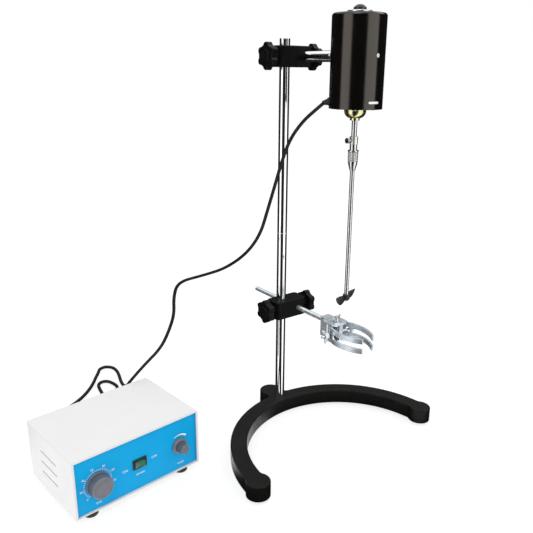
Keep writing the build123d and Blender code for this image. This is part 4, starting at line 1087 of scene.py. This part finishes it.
@dataclass
class Paddle:
    """The stirring paddle: a turned hub with one broad rounded blade and one that narrows to a point."""

    wardrobe: Wardrobe
    low: float = 0.245
    hub_radius: float = 0.0054
    hub_height: float = 0.009
    hub_edge: float = 0.0008
    bore: float = 0.00335
    turn: float = 17.0
    thickness: float = 0.0018
    points_round: int = 16
    broad: tuple[tuple[float, float, float, float], ...] = (
        (0.0042, 0.0070, -66.0, 0.000), (0.0100, 0.0095, -60.0, -0.0004), (0.0160, 0.0120, -55.0, -0.0008),
        (0.0220, 0.0130, -52.0, -0.0012), (0.0256, 0.0110, -50.0, -0.0014), (0.0268, 0.0070, -50.0, -0.0014),
    )
    pointed: tuple[tuple[float, float, float, float], ...] = (
        (0.0042, 0.0080, 66.0, 0.000), (0.0100, 0.0100, 60.0, 0.0006), (0.0160, 0.0086, 56.0, 0.0018),
        (0.0220, 0.0052, 54.0, 0.0034), (0.0268, 0.0014, 52.0, 0.0052),
    )

    def blade(self, shape: bmesh.types.BMesh, stations: tuple, heading: float) -> None:
        """Add one blade.

        Args:
            shape: the bmesh to add to.
            stations: reach, chord, pitch in degrees and rise of each station.
            heading: compass direction of the blade, in degrees.
        """
        out = compass(heading)
        side = UP.cross(out)
        middle = self.low + self.hub_height / 2
        loops = []
        for reach, chord, pitch, rise in stations:
            lean = math.radians(pitch)
            along = side * math.cos(lean) + UP * math.sin(lean)
            normal = out.cross(along)
            centre = MOTOR + out * reach + UP * (middle + rise)
            loop = []
            for step in range(self.points_round):
                turn = 2 * math.pi * step / self.points_round
                across = along * (math.cos(turn) * chord / 2)
                through = normal * (math.sin(turn) * self.thickness / 2)
                loop.append(centre + across + through)
            loops.append(loop)
        skin(shape, loops)

    def build(self) -> None:
        """Build the hub and its blades."""
        edge = self.hub_edge
        top = self.hub_height
        outline = (
            (self.bore, 0.0), (self.hub_radius - edge, 0.0), (self.hub_radius, edge),
            (self.hub_radius, top - edge), (self.hub_radius - edge, top), (self.bore, top), (self.bore, 0.0),
        )
        hub = turned("paddle_hub", outline)
        hub.matrix_world = Matrix.Translation(MOTOR + UP * self.low)
        shape = bmesh.new()
        self.blade(shape, self.pointed, self.turn)
        self.blade(shape, self.broad, self.turn + 180.0)
        blades = new_mesh("paddle_blades", shape)
        for piece in (hub, blades):
            self.wardrobe.dress(piece, "paddle_metal")
            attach(piece, "stirring_rod")
            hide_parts("paddle")
        log.info("paddle: hub and two blades")


@dataclass
class MotorLead:
    """The flat twin lead to the motor: one span rides on the stand and each other one crosses one joint."""

    wardrobe: Wardrobe
    case: Controller
    width: float = 0.0055
    thickness: float = 0.0034
    exit_angle: float = 150.0
    droop: float = 40.0
    gland_seat: float = 0.0377
    gland_flange: float = 0.002
    gland_reach: float = 0.009
    gland_height: float = 0.541
    straight: float = 0.014
    hanging: tuple[Triple, ...] = (
        (-0.038, -0.092, 0.514), (-0.051, -0.079, 0.488), (-0.0595, -0.071, 0.453), (-0.067, -0.065, 0.418),
        (-0.074, -0.058, 0.383), (-0.082, -0.052, 0.348), (-0.097, -0.039, 0.318), (-0.122, -0.018, 0.293),
        (-0.150, 0.006, 0.280), (-0.180, 0.0295, 0.269), (-0.1855, 0.035, 0.243), (-0.185, 0.0355, 0.215),
        (-0.1925, 0.0415, 0.186), (-0.2035, 0.0505, 0.156), (-0.225, 0.069, 0.125),
    )
    by_case: tuple[Triple, ...] = (
        (0.180, 0.147, 0.0925), (0.177, 0.165, 0.072), (0.171, 0.178, 0.053), (0.1655, 0.180, 0.038),
        (0.165, 0.174, 0.027), (0.165, 0.164, 0.022), (0.165, 0.154, 0.022),
    )
    ring_points: int = 10
    spans: tuple[tuple[str, str, float], ...] = (
        ("stand", "stand", 0.27),
        ("stand", "upper_column", 0.52),
        ("upper_column", "upper_head", 0.66),
        ("upper_head", "motor_arm", 0.80),
        ("motor_arm", "motor", 1.0),
    )

    def gland(self) -> tuple[Vector, Vector]:
        """Where the lead leaves the motor's strain relief, and which way.

        Returns:
            The point and the direction.
        """
        droop = math.radians(self.droop)
        level = compass(self.exit_angle)
        way = level * math.cos(droop) - UP * math.sin(droop)
        nose = (self.gland_reach - self.gland_flange) / 2
        seat = MOTOR + level * self.gland_seat + UP * self.gland_height
        return seat + level * (self.gland_flange + nose) + way * nose, way

    def route(self) -> list[Vector]:
        """Control points of the lead, from the controller to the motor.

        Returns:
            The points, in metres.
        """
        exit_point, way = self.gland()
        points = [exit_point, exit_point + way * self.straight]
        points += [spot(*point) for point in self.hanging]
        points += [self.case.at(*point) for point in self.by_case]
        points.reverse()
        return points

    def profile(self) -> list[Pair]:
        """Outline of the twin lead's section, two round cores side by side.

        Returns:
            Points as shares along the wide and the thin way.
        """
        core = self.thickness / 2
        offset = self.width / 2 - core
        half = math.acos(-offset / core)
        outline = []
        for side in (1, -1):
            for step in range(self.ring_points):
                angle = -half + 2 * half * step / (self.ring_points - 1)
                outline.append((side * (offset + core * math.cos(angle)), side * core * math.sin(angle)))
        return outline

    def rings(self, line: list[Vector]) -> list[list[Vector]]:
        """Rings of the lead's section along its line, turning no more than the line does.

        Args:
            line: the points of the centreline.

        Returns:
            One ring of points for each point of the line.
        """
        outline = self.profile()
        ways = [(b - a).normalized() for a, b in zip(line, line[1:])]
        ways.append(ways[-1])
        wide = ways[0].cross(UP).normalized()
        rings = []
        for point, way in zip(line, ways):
            wide = (wide - way * wide.dot(way)).normalized()
            thin = way.cross(wide)
            rings.append([point + wide * a + thin * b for a, b in outline])
        return rings

    def build(self) -> None:
        """Build the lead's spans."""
        line = line_of(self.route())
        rings = self.rings(line)
        total = length_of(line)
        start = 0
        for number, (first_body, second_body, share) in enumerate(self.spans):
            end = start + 1
            while end < len(line) - 1 and length_of(line[: end + 1]) < total * share:
                end += 1
            if share == 1.0:
                end = len(line) - 1
            shape = bmesh.new()
            skin(shape, rings[start:end + 1])
            piece = new_mesh(f"motor_lead_{number + 1}", shape)
            self.wardrobe.dress(piece, "lead_pvc")
            if first_body == second_body:
                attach(piece, first_body)
            else:
                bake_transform(piece)
            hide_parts("motor_lead")
            start = end


@dataclass
class MainsLead:
    """The mains lead: along the bench behind the case, into its coil and on to the plug."""

    wardrobe: Wardrobe
    case: Controller
    radius: float = 0.003
    coil: Pair = (-0.300, 0.140)
    layers: tuple[Pair, ...] = ((0.036, 0.003), (0.030, 0.003), (0.030, 0.009), (0.036, 0.009))
    entry_radius: float = 0.0421
    points_per_turn: int = 16
    from_case: tuple[Triple, ...] = (
        (0.030, 0.162, 0.020), (0.030, 0.173, 0.020), (0.030, 0.185, 0.015), (0.0305, 0.197, 0.005),
        (0.032, 0.211, -0.003), (0.036, 0.227, -0.006),
    )
    loops: tuple[Pair, ...] = (
        (-0.377, 0.168), (-0.358, 0.189), (-0.334, 0.207), (-0.303, 0.222), (-0.280, 0.236), (-0.2575, 0.2555),
        (-0.2375, 0.279), (-0.221, 0.304), (-0.210, 0.319), (-0.2025, 0.3325), (-0.189, 0.3360),
        (-0.178, 0.3250), (-0.1765, 0.306), (-0.182, 0.282), (-0.190, 0.256), (-0.1925, 0.234), (-0.175, 0.216),
        (-0.173, 0.1945), (-0.1795, 0.173), (-0.1995, 0.163), (-0.221, 0.1695), (-0.231, 0.1895),
        (-0.226, 0.210), (-0.213, 0.227), (-0.2025, 0.242), (-0.2045, 0.262), (-0.2105, 0.276),
        (-0.2215, 0.2785), (-0.2300, 0.2710), (-0.2335, 0.2575), (-0.237, 0.234), (-0.243, 0.212),
        (-0.250, 0.187),
    )
    entry_run: float = 0.022
    to_plug: tuple[Triple, ...] = ((0.012, -0.0385, 0.0085), (0.002, -0.0418, 0.0074))
    plug_nose: Triple = (-0.306, 0.0975, 0.007)

    def coil_points(self) -> list[Vector]:
        """Control points of the coil's turns, clockwise from its right side.

        Returns:
            The points, in metres.
        """
        x, y = self.coil
        count = self.points_per_turn
        steps = count * len(self.layers) + count // 8
        keep = math.cos(math.pi / count)
        points = []
        for step in range(1, steps + 1):
            turn = step / count
            index = min(int(turn), len(self.layers) - 1)
            share = min(1.0, max(0.0, (turn - index - 0.75) / 0.25))
            radius, height = self.layers[index]
            after = self.layers[min(index + 1, len(self.layers) - 1)]
            radius += (after[0] - radius) * share
            height += (after[1] - height) * share
            lead_in = max(0.0, 1.0 - step / 4)
            radius += (self.entry_radius - self.layers[0][0]) * lead_in
            angle = -2 * math.pi * turn
            reach = radius / keep
            points.append(spot(x + reach * math.cos(angle), y + reach * math.sin(angle), height))
        return points

    def route(self) -> list[Vector]:
        """Control points of the whole mains lead.

        Returns:
            The points, in metres.
        """
        x, y = self.coil
        entry = x + self.entry_radius
        return [
            *(self.case.at(*point) for point in self.from_case),
            *(spot(*point, self.radius) for point in self.loops),
            spot(entry, y + self.entry_run, self.radius),
            spot(entry, y, self.radius),
            *self.coil_points(),
            *(spot(x + across, y + along, up) for across, along, up in self.to_plug),
            spot(*self.plug_nose),
        ]

    def build(self, frame: dict) -> None:
        """Build the lead as one smooth cord.

        Args:
            frame: the loaded frame; not used.
        """
        points = self.route()
        length = length_of(line_of(points))
        piece = new_curve("mains_cord", points, self.radius)
        self.wardrobe.dress(piece, "lead_pvc")
        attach(piece, "stand")
        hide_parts("mains_lead", "mains_coil")
        log.info("mains lead: %.3f m", length)


@dataclass
class MotorTrim:
    """The motor's sheets: bright in the front vent slot with a black rim of painted shade round it, and a blank
    over the slot beside it.
    """

    wardrobe: Wardrobe
    radius: float = 0.03758
    height: float = 0.541
    steps: int = 14
    thickness: float = 0.00012
    bright: Triple = (266.5, 13.5, 0.0016)
    # black rim sheet: painted shade at the vent slot's edge
    rim: Triple = (266.5, 14.6, 0.0023)
    blank: Triple = (210.0, 13.5, 0.0026)
    shade_rim_inset: float = 0.00004
    blunt: float = 0.04

    def sheet(self, name: str, place: Triple, radius: float, finish: str) -> None:
        """Build one curved sheet on the motor's shell, with round ends.

        Args:
            name: the piece's name.
            place: its compass direction and half its angle, in degrees, and half its height, in metres.
            radius: the sheet's radius about the motor's axis, in metres.
            finish: the finish's name.
        """
        heading, half_angle, half_height = place
        end = math.degrees(half_height / radius)
        shape = bmesh.new()
        rows = []
        for side in (-1, 1):
            row = []
            for step in range(self.steps + 1):
                turn = -half_angle + 2 * half_angle * step / self.steps
                past = max(0.0, abs(turn) - (half_angle - end)) / end
                tall = half_height * math.sqrt(max(self.blunt, 1.0 - past * past))
                point = MOTOR + compass(heading + turn) * radius
                row.append(shape.verts.new(point + UP * (self.height + side * tall)))
            rows.append(row)
        for index in range(self.steps):
            shape.faces.new([rows[0][index], rows[0][index + 1], rows[1][index + 1], rows[1][index]])
        for edge in shape.edges:
            edge.smooth = not edge.is_boundary
        sheet = new_mesh(name, shape)
        thick = sheet.modifiers.new("thick", "SOLIDIFY")
        thick.thickness = self.thickness
        thick.offset = 0.0
        self.wardrobe.dress(sheet, finish)
        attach(sheet, "motor")

    def build(self) -> None:
        """Build the sheets."""
        self.sheet("vent_sheet", self.bright, self.radius, "liner_white")
        # black sheet round the bright one: painted shade at the slot's edge
        self.sheet("vent_shade_rim", self.rim, self.radius - self.shade_rim_inset, "switch_black")
        self.sheet("vent_blank", self.blank, self.radius, "blank_paint")
        log.info("motor: vent sheets")


def main() -> None:
    """Load the frame and build the camera, the cords, the finishes, the trim and the studio."""
    logging.basicConfig(level=logging.INFO, format="%(message)s")
    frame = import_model()
    Camera().build()
    wardrobe = Wardrobe()
    case = Controller(wardrobe)
    MotorLead(wardrobe, case).build()
    MainsLead(wardrobe, case).build(frame)
    wardrobe.dress_nodes(frame)
    case.build()
    CaseFeet(wardrobe, case).build()
    Paddle(wardrobe).build()
    MotorTrim(wardrobe).build()
    Studio().build()


if __name__ == "__main__":
    main()
